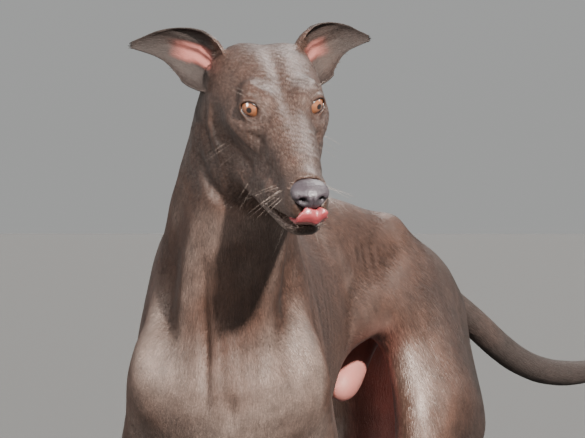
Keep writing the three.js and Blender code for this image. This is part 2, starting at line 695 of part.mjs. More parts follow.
// The head is shaped in its own frame, with the start of the neck behind it.
function headAndNeck() {
  const e = headMatrix.elements;
  const aroundHead = (x, y, z) => whole(
    e[0] * x + e[4] * y + e[8] * z + e[12],
    e[1] * x + e[5] * y + e[9] * z + e[13],
    e[2] * x + e[6] * y + e[10] * z + e[14],
  );
  const mound = mirrored([swelling([-2, 24, 8], [16, 13.5, 13.5], 0, 9)])[0];
  const opening = mirrored([swelling([13, 35, 9], [10, 10, 8.5], 0, 3)])[0];
  const field = (x, y, z) => carve(blend(aroundHead(x, y, z), mound(x, y, z), 8), opening(x, y, z), 5);
  const skin = skinOf(field, [-160, -74, -110], [156, 74, 56], [4.6, 4.4, 4.4], 0.6);
  const nose = largest(skinOf(noseForm, [114, -24, -38], [160, 24, 4], [2.8, 2.8, 2.8], 0.3));
  const tongue = skinOf(tongueForm, [58, -26, -70], [172, 28, -16], [3.6, 4.4, 3.2], 0.3);
  const noseRoom = grown(nose, ROOM);
  const tongueRoom = grown(tongue, ROOM * 1.5);
  let head = skin.subtract(underLine(UPPER_LIP, 0)).subtract(noseRoom).subtract(tongueRoom);
  const eyeball = (radius) => solidOf(
    new THREE.SphereGeometry(radius, 14, 9).rotateX(Math.PI / 2).translate(...EYE_AT),
  );
  const eyeRoom = eyeball(EYE_RADIUS + ROOM);
  for (const sign of [1, -1]) head = head.add(mirror(sign, lidRim())).subtract(mirror(sign, eyeRoom));
  const place = (solid) => solid.transform(headMatrix.elements);
  const wholeHead = largest(place(head));
  solids.head = largest(beyond(wholeHead, "nape"));
  solids.nose = place(nose);
  solids.tongue = place(largest(tongue.subtract(noseRoom)));
  const neckSkin = skinOf(whole, [-60, -120, 480], [260, 130, 880], [12, 11, 12], 1.4);
  solids.neck = largest(before(beyond(neckSkin, "collar"), "nape"));
  const [headRoom, neckRoom] = [grown(wholeHead, ROOM), grown(neckSkin, ROOM)];
  for (const [side, sign] of Object.entries(SIDES)) {
    solids[`eye_${side}`] = place(mirror(sign, eyeball(EYE_RADIUS)));
    const placed = place(mirror(sign, ear(EAR_LIFT[side], EAR_IN[side])));
    solids[`ear_${side}`] = largest(placed.subtract(headRoom).subtract(neckRoom));
  }
  const jaw = skin.intersect(underLine(LOWER_LIP, 2 * HALF_GAP)).subtract(tongueRoom);
  solids.jaw = largest(place(jaw));
}

// What lies under one edge of the mouth's line, from the jaw's back forward.
function underLine(edge, gap) {
  const under = edge.map(([x, z]) => new THREE.Vector2(x + gap, z));
  const [low, width] = [-130, 160];
  const shape = new THREE.Shape([
    new THREE.Vector2(JAW_BACK[0] + gap, JAW_BACK[1]), ...under, new THREE.Vector2(170, under.at(-1).y),
    new THREE.Vector2(170, low), new THREE.Vector2(JAW_BACK[0] + gap, low),
  ]);
  const slab = new THREE.ExtrudeGeometry(shape, { depth: width, bevelEnabled: false, steps: 1 });
  return solidOf(slab.rotateX(Math.PI / 2).translate(0, width / 2, 0));
}

// The nose pad, with a comma of a nostril on each side.
const noseForm = (() => {
  const pad = join(swelling([135, 0, -15], [15, 17, 10], 14, 6), [
    swelling([141, 0, -14], [11, 12, 9], 0, 8),
    swelling([133, 0, -23], [14, 8, 7], 0, 6),
  ]);
  const nostrils = mirrored([
    muscle([158, 6.5, -17], [145, 8.5, -16], [3.2, 2.8], 1, 2),
    muscle([150, 9, -18], [142, 17, -21], [2.2, 1.4], 1, 2),
  ]);
  return (x, y, z) => nostrils.reduce((total, nostril) => carve(total, nostril(x, y, z), 2), pad(x, y, z));
})();

// The tongue comes out between the lips and curls up over them to the nose.
const tongueForm = strand([
  [70, 0, -59, 1.6], [100, 0, -54.5, 2.6], [124, 0, -47.5, 3], [139, 0, -42, 3.2], [148, 0, -36.5, 3.4],
  [150, 1, -30.5, 3], [147, 1, -26, 2],
], 12, 4.6, 4);

// The rim of the left eye's lids: a thin closed roll round the almond between them.
const GAZE = new THREE.Vector3(0.85, 0.53, 0.06).normalize();
const LID = { half: 10.5, high: 8.4, roll: 1.7, sides: 6, steps: 22 };
function lidRim() {
  const across = new THREE.Vector3(0, 0, 1).cross(GAZE).normalize();
  const upward = GAZE.clone().cross(across);
  const eye = new THREE.Vector3(...EYE_AT);
  const ring = [];
  for (let i = 0; i < LID.steps; i += 1) {
    const turn = (i / LID.steps) * Math.PI * 2;
    const u = Math.cos(turn) * LID.half;
    const v = Math.sin(turn) * LID.high * (0.75 + 0.25 * Math.abs(Math.sin(turn)));
    const ahead = Math.sqrt((EYE_RADIUS + ROOM + 1) ** 2 - u * u - v * v);
    ring.push(eye.clone().addScaledVector(across, u).addScaledVector(upward, v).addScaledVector(GAZE, ahead));
  }
  const corners = [];
  ring.forEach((p, i) => {
    const along = ring[(i + 1) % ring.length].clone().sub(ring.at(i - 1)).normalize();
    const out = p.clone().sub(eye).normalize();
    const side = along.clone().cross(out).normalize();
    for (let j = 0; j < LID.sides; j += 1) {
      const turn = (j / LID.sides) * Math.PI * 2;
      corners.push(...p.clone()
        .addScaledVector(out, Math.sin(turn) * LID.roll)
        .addScaledVector(side, Math.cos(turn) * LID.roll).toArray());
    }
  });
  const faces = [];
  for (let i = 0; i < LID.steps; i += 1) {
    for (let j = 0; j < LID.sides; j += 1) {
      const [a, b] = [i * LID.sides + j, i * LID.sides + ((j + 1) % LID.sides)];
      const [c, d] = [a, b].map((n) => (n + LID.sides) % corners.length);
      const over = (n) => n % (LID.steps * LID.sides);
      faces.push(a, over(c), b, b, over(c), over(d));
    }
  }
  return facingOut(corners, faces);
}

// The left ear, a thin cup at its root that opens and flattens to a tip, thrown out and back.
const EAR_LINE = [[-84, 24, -6], [-99, 45, 0], [-115, 61, 8], [-133, 84, 9], [-151, 115, -1]];
const EAR_LIFT = { left: 2, right: 7 }; // how much higher each tip is thrown
const EAR_IN = { left: 7, right: 0 }; // how much nearer to the crown each root stands
const EAR_STOPS = {
  width: [[0, 9], [0.2, 20], [0.36, 25.5], [0.5, 24.5], [0.64, 19.5], [0.8, 12.5], [0.92, 6.5], [1, 2.8]],
  cup: [[0, 8], [0.2, 18], [0.4, 18], [0.6, 11], [0.8, 5], [1, 1.4]],
};
const ear = (lift, inward) => {
  const last = EAR_LINE.length - 1;
  const stops = EAR_LINE.map(([x, y, z], i) => {
    const t = i / last;
    return new THREE.Vector3(x, y - inward * (1 - t * t * 0.5), z + lift * t * t);
  });
  const line = new THREE.CatmullRomCurve3(stops);
  const width = profile(EAR_STOPS.width);
  const cup = profile(EAR_STOPS.cup);
  const rows = 12;
  const columns = 10;
  const up = new THREE.Vector3(-0.25, -0.25, 0.93);
  const point = (i, j, face) => {
    const u = i / rows;
    const angle = Math.PI * (j / columns - 0.5) * 1.1;
    const centre = line.getPoint(u);
    const along = line.getTangent(u);
    const across = up.clone().addScaledVector(along, -up.dot(along)).normalize();
    const back = across.clone().cross(along).normalize();
    const thick = (EAR_THICKNESS / 2) * (1 - 0.45 * u) * face * Math.cos(angle / 1.4);
    return centre
      .addScaledVector(across, Math.sin(angle) * (width(u) + thick))
      .addScaledVector(back, Math.cos(angle) * (cup(u) + thick) - cup(u) * 0.5);
  };
  const ring = [];
  for (let j = 0; j <= columns; j += 1) ring.push([j, 1]);
  for (let j = columns; j >= 0; j -= 1) ring.push([j, -1]);
  const corners = [];
  for (let i = 0; i <= rows; i += 1) {
    for (const [j, face] of ring) corners.push(...point(i, j, face).toArray());
  }
  const n = ring.length;
  const faces = [];
  for (let i = 0; i < rows; i += 1) {
    for (let j = 0; j < n; j += 1) {
      const next = (j + 1) % n;
      faces.push(i * n + j, i * n + next, (i + 1) * n + j, i * n + next, (i + 1) * n + next, (i + 1) * n + j);
    }
  }
  for (let j = 0; j < columns; j += 1) {
    const [a, b] = [n - 1 - j, n - 2 - j];
    faces.push(j, a, j + 1, a, b, j + 1);
    const tip = rows * n;
    faces.push(tip + j, tip + j + 1, tip + a, tip + a, tip + j + 1, tip + b);
  }
  return facingOut(corners, faces);
};

headAndNeck();
legs();
trunkAndTail();

// Bends the straight body sideways: the chest turns left, the hips turn right, the loins curve between.
const turnAt = (x) => radians(SIDE_BEND) * (clamp((x - LOIN_BACK) / (LOIN_FRONT - LOIN_BACK), 0, 1) - 0.5);
function spineAt(x) {
  const middle = (LOIN_FRONT + LOIN_BACK) / 2;
  const steps = 24;
  const p = [middle, 0];
  for (let i = 0; i < steps; i += 1) {
    const at = middle + ((i + 0.5) / steps) * (x - middle);
    p[0] += (Math.cos(turnAt(at)) * (x - middle)) / steps;
    p[1] += (Math.sin(turnAt(at)) * (x - middle)) / steps;
  }
  return p;
}
function bent(solid) {
  const { vertProperties, triVerts } = solid.getMesh();
  const found = new THREE.BufferGeometry()
    .setAttribute("position", new THREE.Float32BufferAttribute(vertProperties, 3))
    .setIndex(new THREE.Uint32BufferAttribute(triVerts, 1));
  const geometry = mergeVertices(found, CLOSE_CORNERS);
  const ring = geometry.index.array;
  const whole = [];
  for (let i = 0; i < ring.length; i += 3) {
    const [a, b, c] = ring.slice(i, i + 3);
    if (a !== b && b !== c && c !== a) whole.push(a, b, c);
  }
  geometry.setIndex(whole);
  const { position } = geometry.attributes;
  for (let i = 0; i < position.count; i += 1) {
    const turn = turnAt(position.getX(i));
    const [cx, cy] = spineAt(position.getX(i));
    const y = position.getY(i);
    position.setXY(i, cx - y * Math.sin(turn), cy + y * Math.cos(turn));
  }
  return geometry;
}

const COLOURS = { coat: 0x3a2f2b, nose: 0x4a4448, tongue: 0xd8727a, eye: 0xa8602c };
const ROUGHNESS = { coat: 0.45, nose: 0.35, tongue: 0.3, eye: 0.1 };
const materialOf = (name) => {
  const kind = name.split("_")[0] in COLOURS ? name.split("_")[0] : "coat";
  return new THREE.MeshStandardMaterial({ color: COLOURS[kind], roughness: ROUGHNESS[kind], metalness: 0 });
};
const greyhound = new THREE.Group();
for (const [name, solid] of Object.entries(solids)) {
  const piece = new THREE.Mesh(bent(solid), materialOf(name));
  piece.name = name;
  greyhound.add(piece);
}

// The origin is on the floor, under the middle of the body's box.
const box = new THREE.Box3().setFromObject(greyhound);
const middle = box.getCenter(new THREE.Vector3());
greyhound.position.set(-middle.x, -middle.y, 0);

export default greyhound;
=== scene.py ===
import math

import bmesh
import bpy
import numpy as np
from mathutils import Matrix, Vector
from mathutils.bvhtree import BVHTree


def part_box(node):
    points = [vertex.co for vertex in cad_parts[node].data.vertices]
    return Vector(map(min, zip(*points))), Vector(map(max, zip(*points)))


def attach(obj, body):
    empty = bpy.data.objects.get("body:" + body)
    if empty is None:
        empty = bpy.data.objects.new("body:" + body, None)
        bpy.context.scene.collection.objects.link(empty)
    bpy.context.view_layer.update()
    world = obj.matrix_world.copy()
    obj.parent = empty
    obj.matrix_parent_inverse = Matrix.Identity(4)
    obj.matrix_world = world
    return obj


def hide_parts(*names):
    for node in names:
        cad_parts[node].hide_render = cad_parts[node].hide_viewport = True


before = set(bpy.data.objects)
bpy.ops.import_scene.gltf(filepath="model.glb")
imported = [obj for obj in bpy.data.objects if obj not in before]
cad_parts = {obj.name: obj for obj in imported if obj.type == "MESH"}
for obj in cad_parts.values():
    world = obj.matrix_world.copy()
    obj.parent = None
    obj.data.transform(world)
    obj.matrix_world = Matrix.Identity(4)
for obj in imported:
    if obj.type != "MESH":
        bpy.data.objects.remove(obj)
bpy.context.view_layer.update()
bpy.ops.object.select_all(action="DESELECT")
scene = bpy.context.scene


# The straight body that the animal was planned on, in millimetres, and the bend of its loins.
bodyPlan = {
    "loinFront": -60.0,
    "loinBack": -350.0,
    "sideBend": 30.0,  # degrees between chest and hips
    "headAt": (282.0, 51.0, 771.0),
    "headPitch": 26.0,
    "headYaw": 12.0,
    "headRoll": 3.5,
    "eyeAt": (0.0, 26.0, 8.0),  # in the head's frame
    "eyeRadius": 12.0,
    "gaze": (0.85, 0.53, 0.06),  # of the left eye, in the head's frame
    "swing": (650.0, 455.0, 140.0, 18.0),  # the right hind leg: from and to these heights, back and inwards
}
spineX = np.linspace(-1200.0, 500.0, 3401)
spineTurn = np.radians(bodyPlan["sideBend"]) * (
    np.clip((spineX - bodyPlan["loinBack"]) / (bodyPlan["loinFront"] - bodyPlan["loinBack"]), 0, 1) - 0.5
)
stepX = spineX[1] - spineX[0]
middleAt = int(round(((bodyPlan["loinFront"] + bodyPlan["loinBack"]) / 2 - spineX[0]) / stepX))
spineAlong = np.concatenate([[0], np.cumsum((np.cos(spineTurn[1:]) + np.cos(spineTurn[:-1])) / 2 * stepX)])
spineAcross = np.concatenate([[0], np.cumsum((np.sin(spineTurn[1:]) + np.sin(spineTurn[:-1])) / 2 * stepX)])
spineAlong += spineX[middleAt] - spineAlong[middleAt]
spineAcross -= spineAcross[middleAt]


def turnMatrix(plan):
    roll, pitch, yaw = [math.radians(plan[k]) for k in ("headRoll", "headPitch", "headYaw")]
    rollM = np.array([[1, 0, 0], [0, math.cos(roll), -math.sin(roll)], [0, math.sin(roll), math.cos(roll)]])
    pitchM = np.array([[math.cos(pitch), 0, math.sin(pitch)], [0, 1, 0],
        [-math.sin(pitch), 0, math.cos(pitch)]])
    yawM = np.array([[math.cos(yaw), -math.sin(yaw), 0], [math.sin(yaw), math.cos(yaw), 0], [0, 0, 1]])
    return yawM @ pitchM @ rollM


headTurn = turnMatrix(bodyPlan)
headAt = np.array(bodyPlan["headAt"])


def headToStraight(points):
    return headAt + np.asarray(points, float) @ headTurn.T


def straightToHead(points):
    return (np.asarray(points, float) - headAt) @ headTurn


def bendPoints(points):
    p = np.atleast_2d(np.asarray(points, float))
    turn = np.interp(p[:, 0], spineX, spineTurn)
    cx = np.interp(p[:, 0], spineX, spineAlong)
    cy = np.interp(p[:, 0], spineX, spineAcross)
    return np.column_stack([cx - p[:, 1] * np.sin(turn), cy + p[:, 1] * np.cos(turn), p[:, 2]])


def boxMiddle(node):
    low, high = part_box(node)
    return (np.array(low) + np.array(high)) / 2


# The frame's origin lies under the middle of the animal: found from where the left eye stands.
eyePlace = bendPoints(headToStraight([bodyPlan["eyeAt"]]))[0]
shift = boxMiddle("eye_left") * 1000 - eyePlace
shift[2] = 0.0
print("shift of the straight body", shift.round(2))


def toRow(points):  # straight millimetres to metres in the row frame
    return (bendPoints(points) + shift) / 1000


def headToRow(points):
    return toRow(headToStraight(points))


def fromRow(points):  # metres in the row frame back to straight millimetres
    p = np.atleast_2d(np.asarray(points, float)) * 1000 - shift
    x = p[:, 0].copy()
    for _ in range(30):
        turn = np.interp(x, spineX, spineTurn)
        dx = p[:, 0] - np.interp(x, spineX, spineAlong)
        dy = p[:, 1] - np.interp(x, spineX, spineAcross)
        x = x + 0.8 * (dx * np.cos(turn) + dy * np.sin(turn))
    turn = np.interp(x, spineX, spineTurn)
    dx = p[:, 0] - np.interp(x, spineX, spineAlong)
    dy = p[:, 1] - np.interp(x, spineX, spineAcross)
    return np.column_stack([x, -dx * np.sin(turn) + dy * np.cos(turn), p[:, 2]])


def turnRow(vectors, x):  # directions of the straight body at x, as directions in the row frame
    turn = np.interp(x, spineX, spineTurn)
    v = np.asarray(vectors, float)
    return np.column_stack([
        v[:, 0] * np.cos(turn) - v[:, 1] * np.sin(turn),
        v[:, 0] * np.sin(turn) + v[:, 1] * np.cos(turn),
        v[:, 2],
    ])


def unit(vectors):
    return vectors / np.maximum(np.linalg.norm(vectors, axis=-1, keepdims=True), 1e-9)


def smoothStep(a, b, x):
    t = np.clip((x - a) / (b - a), 0, 1)
    return t * t * (3 - 2 * t)


def squareLegs(points):  # the straight body with the right hind leg set beside the left one
    s = np.array(points, float)
    top, foot, back, inwards = bodyPlan["swing"]
    share = smoothStep(top, foot, s[:, 2]) * (s[:, 1] < 0) * smoothStep(-300, -360, s[:, 0])
    share = share * (1 - smoothStep(-700, -760, s[:, 0]) * smoothStep(400, 460, s[:, 2]))
    s[:, 0] += back * share
    s[:, 1] -= inwards * share
    return s


def bell(points, middle, widths):
    away = (points - np.array(middle, float)) / np.array(widths, float)
    return np.exp(-(away ** 2).sum(1) / 2)


def lineDistance(points, line):  # place along a line, 0 to 1, and distance from it
    line = np.array(line, float)
    best = np.full(len(points), 1e9)
    at = np.zeros(len(points))
    for i in range(len(line) - 1):
        run = line[i + 1] - line[i]
        t = np.clip(((points - line[i]) @ run) / (run @ run), 0, 1)
        away = np.linalg.norm(points - line[i] - t[:, None] * run, axis=1)
        at = np.where(away < best, (i + t) / (len(line) - 1), at)
        best = np.minimum(away, best)
    return at, best


def mirror(points):  # both sides laid over the left one
    return np.column_stack([points[:, 0], np.abs(points[:, 1]), points[:, 2]])


def eyeFrame(sign):  # middle, gaze and two axes across it, in the head's frame
    gaze = unit(np.array(bodyPlan["gaze"]) * [1, sign, 1])
    across = unit(np.cross([0, 0, 1.0], gaze))
    return np.array(bodyPlan["eyeAt"]) * [1, sign, 1], gaze, across, np.cross(gaze, across)


# Camera, floor and light: metres and degrees, but the focal length, eyes and width in the photo's pixels.
cameraPlan = {"turn": 15.0, "distance": 4.2, "height": 0.674, "focal": 4620.0, "eyesAt": 282.0,
    "width": 585.0}


def makeCamera():
    turn = math.radians(cameraPlan["turn"])
    towards = Vector((math.cos(turn), math.sin(turn), 0))
    right = (-towards).cross(Vector((0, 0, 1)))
    eyes = Vector((boxMiddle("eye_left") + boxMiddle("eye_right")) / 2)
    offset = (cameraPlan["eyesAt"] - cameraPlan["width"] / 2) / cameraPlan["focal"] * cameraPlan["distance"]
    aim = eyes - right * offset
    bpy.ops.object.camera_add(location=(0, 0, 0))
    camera = bpy.context.object
    camera.name = "photoCamera"
    camera.location = (aim.x + towards.x * cameraPlan["distance"], aim.y + towards.y * cameraPlan["distance"],
                       cameraPlan["height"])
    camera.rotation_euler = (math.radians(90), 0, math.radians(cameraPlan["turn"] + 90))
    camera.data.sensor_width = 36
    camera.data.lens = cameraPlan["focal"] / cameraPlan["width"] * 36
    camera.data.dof.use_dof = False
    scene.camera = camera


lightPlan = {
    "key": {"turn": 34.0, "rise": 24.0, "strength": 21.0, "soft": 2.5, "colour": (1.0, 0.955, 0.90)},
    "fill": {"turn": -52.0, "rise": 20.0, "strength": 4.4, "soft": 24.0, "colour": (1.0, 0.96, 0.92)},
    "back": {"turn": 175.0, "rise": 48.0, "strength": 2.2, "soft": 25.0, "colour": (1.0, 0.98, 0.95)},
    "side": {"turn": 112.0, "rise": 35.0, "strength": 1.3, "soft": 25.0, "colour": (1.0, 0.96, 0.92)},
}
studioPlan = {
    "sky": (0.56, 0.58, 0.60), "horizon": (0.44, 0.445, 0.44), "strength": 0.85,
    "floor": (0.065, 0.065, 0.0643),
    "floorSize": 400.0, "lampsAway": 4.0,
}
softboxPlan = {  # the pale window that shows in the eyes
    "turn": 12.0, "rise": 30.0, "away": 2.2, "aim": (0.62, 0.0, 0.77), "size": 0.32, "energy": 14.0,
    "colour": (0.80, 0.90, 1.0),
}


def towardsLamp(plan):
    turn, rise = math.radians(plan["turn"]), math.radians(plan["rise"])
    return Vector((math.cos(turn) * math.cos(rise), math.sin(turn) * math.cos(rise), math.sin(rise)))


def makeLights():
    for name, plan in lightPlan.items():
        back = towardsLamp(plan)
        bpy.ops.object.light_add(type="SUN", location=(0, 0, 0))
        light = bpy.context.object
        light.name = name + "Light"
        light.data.energy = plan["strength"]
        light.data.angle = math.radians(plan["soft"])
        light.data.color = plan["colour"]
        light.location = back * studioPlan["lampsAway"]
        light.rotation_euler = (-back).to_track_quat("-Z", "Y").to_euler()
    plan = softboxPlan
    back = towardsLamp(plan)
    bpy.ops.object.light_add(type="AREA", location=(0, 0, 0))
    light = bpy.context.object
    light.name = "softbox"
    light.data.shape = "DISK"
    light.data.size = plan["size"]
    light.data.energy = plan["energy"]
    light.data.color = plan["colour"]
    light.location = Vector(plan["aim"]) + back * plan["away"]
    light.rotation_euler = (-back).to_track_quat("-Z", "Y").to_euler()


def makeWorld():
    world = bpy.data.worlds.new("studio")
    world.use_nodes = True
    nodes, links = world.node_tree.nodes, world.node_tree.links
    place = nodes.new("ShaderNodeTexCoord")
    parts = nodes.new("ShaderNodeSeparateXYZ")
    ramp = nodes.new("ShaderNodeValToRGB")
    ramp.color_ramp.elements[0].position = 0.02
    ramp.color_ramp.elements[0].color = (*studioPlan["horizon"], 1)
    ramp.color_ramp.elements[1].position = 0.5
    ramp.color_ramp.elements[1].color = (*studioPlan["sky"], 1)
    links.new(place.outputs["Generated"], parts.inputs[0])
    links.new(parts.outputs["Z"], ramp.inputs["Fac"])
    links.new(ramp.outputs["Color"], nodes["Background"].inputs["Color"])
    nodes["Background"].inputs["Strength"].default_value = studioPlan["strength"]
    scene.world = world


def plainMaterial(name):
    material = bpy.data.materials.new(name)
    material.use_nodes = True
    return material, material.node_tree, material.node_tree.nodes["Principled BSDF"]


def setInputs(node, values):
    for key, value in values.items():
        node.inputs[key].default_value = value


def makeFloor():
    bpy.ops.mesh.primitive_plane_add(size=studioPlan["floorSize"], location=(0, 0, 0))
    floor = bpy.context.object
    floor.name = "studioFloor"
    material, tree, shader = plainMaterial("paleFloor")
    setInputs(shader, {"Base Color": (*studioPlan["floor"], 1), "Roughness": 0.85, "Specular IOR Level": 0.2})
    floor.data.materials.append(material)


makeCamera()
makeLights()
makeWorld()
makeFloor()
print("camera, light and floor")


# Small helpers for meshes.
def selectOnly(piece):
    bpy.ops.object.select_all(action="DESELECT")
    piece.select_set(True)
    bpy.context.view_layer.objects.active = piece


def applyAll(piece):
    selectOnly(piece)
    for modifier in list(piece.modifiers):
        bpy.ops.object.modifier_apply(modifier=modifier.name)


def places(mesh):
    found = np.empty(len(mesh.vertices) * 3, np.float32)
    mesh.vertices.foreach_get("co", found)
    return found.reshape(-1, 3).astype(float)


def normalsOf(mesh):
    found = np.empty(len(mesh.vertices) * 3, np.float32)
    mesh.vertex_normals.foreach_get("vector", found)
    return found.reshape(-1, 3).astype(float)


def setPlaces(mesh, points):
    mesh.vertices.foreach_set("co", np.asarray(points, np.float32).ravel())
    mesh.update()


def trianglesOf(mesh):
    mesh.calc_loop_triangles()
    found = np.empty(len(mesh.loop_triangles) * 3, np.int32)
    mesh.loop_triangles.foreach_get("vertices", found)
    return found.reshape(-1, 3)


def newPiece(name, mesh):
    piece = bpy.data.objects.new(name, mesh)
    scene.collection.objects.link(piece)
    return piece


def meshOf(name, points, faces):
    mesh = bpy.data.meshes.new(name)
    mesh.from_pydata(np.asarray(points, float).tolist(), [], np.asarray(faces, int).tolist())
    mesh.update()
    return mesh


def setAttribute(mesh, name, values):
    values = np.asarray(values, np.float32)
    kind, key = ("FLOAT", "value") if values.ndim == 1 else ("FLOAT_VECTOR", "vector")
    mesh.attributes.new(name, kind, "POINT").data.foreach_set(key, values.ravel())


def addNodes(total, names, grow):
    for node in names:
        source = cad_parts[node]
        part = bmesh.new()
        part.from_mesh(source.data)
        part.transform(source.matrix_world)
        bmesh.ops.remove_doubles(part, verts=part.verts, dist=2e-6)
        part.normal_update()
        by = grow.get(node, grow["all"])
        for v in part.verts:
            v.co += v.normal * by
        held = bpy.data.meshes.new("held")
        part.to_mesh(held)
        total.from_mesh(held)
        part.free()
        bpy.data.meshes.remove(held)


def nodeCopy(names, name, grow):
    total = bmesh.new()
    addNodes(total, names, grow)
    mesh = bpy.data.meshes.new(name)
    total.to_mesh(mesh)
    total.free()
    return newPiece(name, mesh)


def keepSide(mesh, point, normal, fill):  # keeps what lies before the plane
    part = bmesh.new()
    part.from_mesh(mesh)
    cut = bmesh.ops.bisect_plane(part, geom=part.verts[:] + part.edges[:] + part.faces[:], dist=1e-6,
                                 plane_co=point, plane_no=normal, clear_inner=True)
    if fill:
        edges = [e for e in cut["geom_cut"] if isinstance(e, bmesh.types.BMEdge)]
        bmesh.ops.holes_fill(part, edges=[e for e in part.edges if e.is_boundary] or edges, sides=0)
    part.to_mesh(mesh)
    part.free()
    mesh.update()


def remesh(piece, size):
    modifier = piece.modifiers.new("remesh", "REMESH")
    modifier.mode = "VOXEL"
    modifier.voxel_size = size
    applyAll(piece)


def setGroup(piece, name, weights):
    group = piece.vertex_groups.new(name=name)
    levels = np.clip(np.round(np.asarray(weights) * 20), 0, 20).astype(int)
    for level in range(21):
        found = np.nonzero(levels == level)[0]
        if len(found):
            group.add(found.tolist(), level / 20, "REPLACE")


def smoothBy(piece, weights, turns, factor=0.5):
    setGroup(piece, "smooth", weights)
    modifier = piece.modifiers.new("smooth", "SMOOTH")
    modifier.factor = factor
    modifier.iterations = turns
    modifier.vertex_group = "smooth"
    applyAll(piece)
    piece.vertex_groups.clear()


# The ears' lines in the head's frame, and how far along them a point lies.
earPlan = {
    "line": ((-84.0, 24.0, -6.0), (-99.0, 45.0, 0.0), (-115.0, 61.0, 8.0), (-133.0, 84.0, 9.0),
    (-151.0, 115.0, -1.0)),
    "stops": (0.0, 0.25, 0.5, 0.75, 1.0),
    "lift": {1: 2.0, -1: 7.0},
    "inward": {1: 7.0, -1: 0.0},
    "back": (-0.83, -0.41, -0.26),  # the way that the left ear's back faces
    "cupFurther": 0.12,  # the right ear's pink lies this share of its length further out
}


def earLine(sign):
    line = np.array(earPlan["line"])
    t = np.array(earPlan["stops"])
    line[:, 1] -= earPlan["inward"][sign] * (1 - t * t * 0.5)
    line[:, 2] += earPlan["lift"][sign] * t * t
    line[:, 1] *= sign
    return line


def alongEar(h, sign):  # place along the line, 0 to 1, and distance from it
    return lineDistance(h, earLine(sign))


# Where a point of the body lies, as soft masks from 0 to 1.
def masksOf(s, h):  # s: on the straight body with square legs, h: in the head's frame
    out = {}
    side = np.abs(h[:, 1])
    out["head"] = smoothStep(-140, -112, h[:, 0]) * smoothStep(-122, -92, h[:, 2])
    away = side - np.interp(h[:, 0], [-150, -120, -98, -80, -60], [30, 40, 44, 50, 60])
    out["ear"] = smoothStep(-1, 7, away) * smoothStep(-62, -76, h[:, 0]) * smoothStep(-50, -40, h[:, 2])
    out["ear"] = out["ear"] * (s[:, 2] > 700)
    fore = smoothStep(430, 370, s[:, 2]) * smoothStep(-150, -110, s[:, 0])
    hind = smoothStep(470, 400, s[:, 2]) * smoothStep(-330, -360, s[:, 0])
    out["leg"] = np.clip(fore + hind, 0, 1)
    out["foot"] = smoothStep(120, 60, s[:, 2])
    out["tail"] = smoothStep(-600, -650, s[:, 0]) * smoothStep(430, 450, s[:, 2])
    out["tail"] = out["tail"] * smoothStep(-0.2, 0.2, 1 - out["leg"])
    return out


flesh = [
    "head", "jaw", "neck", "torso", "tail", "ear_left", "ear_right", "foreleg_left", "foreleg_right",
    "forefoot_left", "forefoot_right", "thigh_left", "thigh_right", "shank_left", "shank_right",
    "hind_foot_left", "hind_foot_right",
]
skinPlan = {
    "headVoxel": 0.0011,
    "bodyVoxel": 0.0022,
    "grow": {"all": 0.0003, "ear_left": 0.0006, "ear_right": 0.0006, "jaw": 0.0002},
    "seam": (126.0, 7.0, 704.0),  # the fine head joins the body across this plane of the neck
    "seamNormal": (0.635, 0.093, 0.767),
    "headFaces": 104000,
    "bodyFaces": 88000,
    "inset": 0.6,  # millimetres of coat over it
}
# A thick shell of lid over each eyeball, with the almond between the lids open: angles off the gaze.
lidPlan = {"across": 57.0, "above": 32.0, "below": 36.0, "tilt": 12.0, "corner": 1.65, "inner": 12.2,
    "outer": 14.5,
           "reach": 100.0}


def placeMasks(mesh):
    straight = fromRow(places(mesh))
    return masksOf(squareLegs(straight), straightToHead(straight))


def isOpen(vertex):
    return any(e.is_boundary for e in vertex.link_edges)


def rimOf(verts, middle, axes):  # the open edge of a mesh, in order of its turn round the middle
    rim = [v for v in verts if isOpen(v)]
    away = np.array([v.co[:] for v in rim]) - middle
    turns = np.arctan2(away @ axes[1], away @ axes[0])
    order = np.argsort(turns)
    return [rim[i] for i in order], turns[order]


def zipHalves(headHalf, bodyHalf, name, normal):
    part = bmesh.new()
    part.from_mesh(headHalf)
    across = unit(np.cross(normal, [0, 0, 1.0]))
    axes = (across, np.cross(normal, across))
    middle = np.mean([v.co[:] for v in part.verts if isOpen(v)], axis=0)
    headRim, headTurns = rimOf(part.verts, middle, axes)
    count = len(part.verts)
    part.from_mesh(bodyHalf)
    part.verts.ensure_lookup_table()
    bodyRim, bodyTurns = rimOf(part.verts[count:], middle, axes)
    i = j = 0
    while i < len(headRim) or j < len(bodyRim):
        nextHead = headTurns[i + 1] if i + 1 < len(headRim) else headTurns[0] + 2 * math.pi
        nextBody = bodyTurns[j + 1] if j + 1 < len(bodyRim) else bodyTurns[0] + 2 * math.pi
        a, b = headRim[i % len(headRim)], bodyRim[j % len(bodyRim)]
        if j >= len(bodyRim) or (i < len(headRim) and nextHead <= nextBody):
            part.faces.new((a, b, headRim[(i + 1) % len(headRim)]))
            i += 1
        else:
            part.faces.new((a, b, bodyRim[(j + 1) % len(bodyRim)]))
            j += 1
    bmesh.ops.recalc_face_normals(part, faces=part.faces)
    openEdges = sum(1 for e in part.edges if not e.is_manifold)
    mesh = bpy.data.meshes.new(name)
    part.to_mesh(mesh)
    part.free()
    print("halves joined,", openEdges, "open edges")
    return mesh


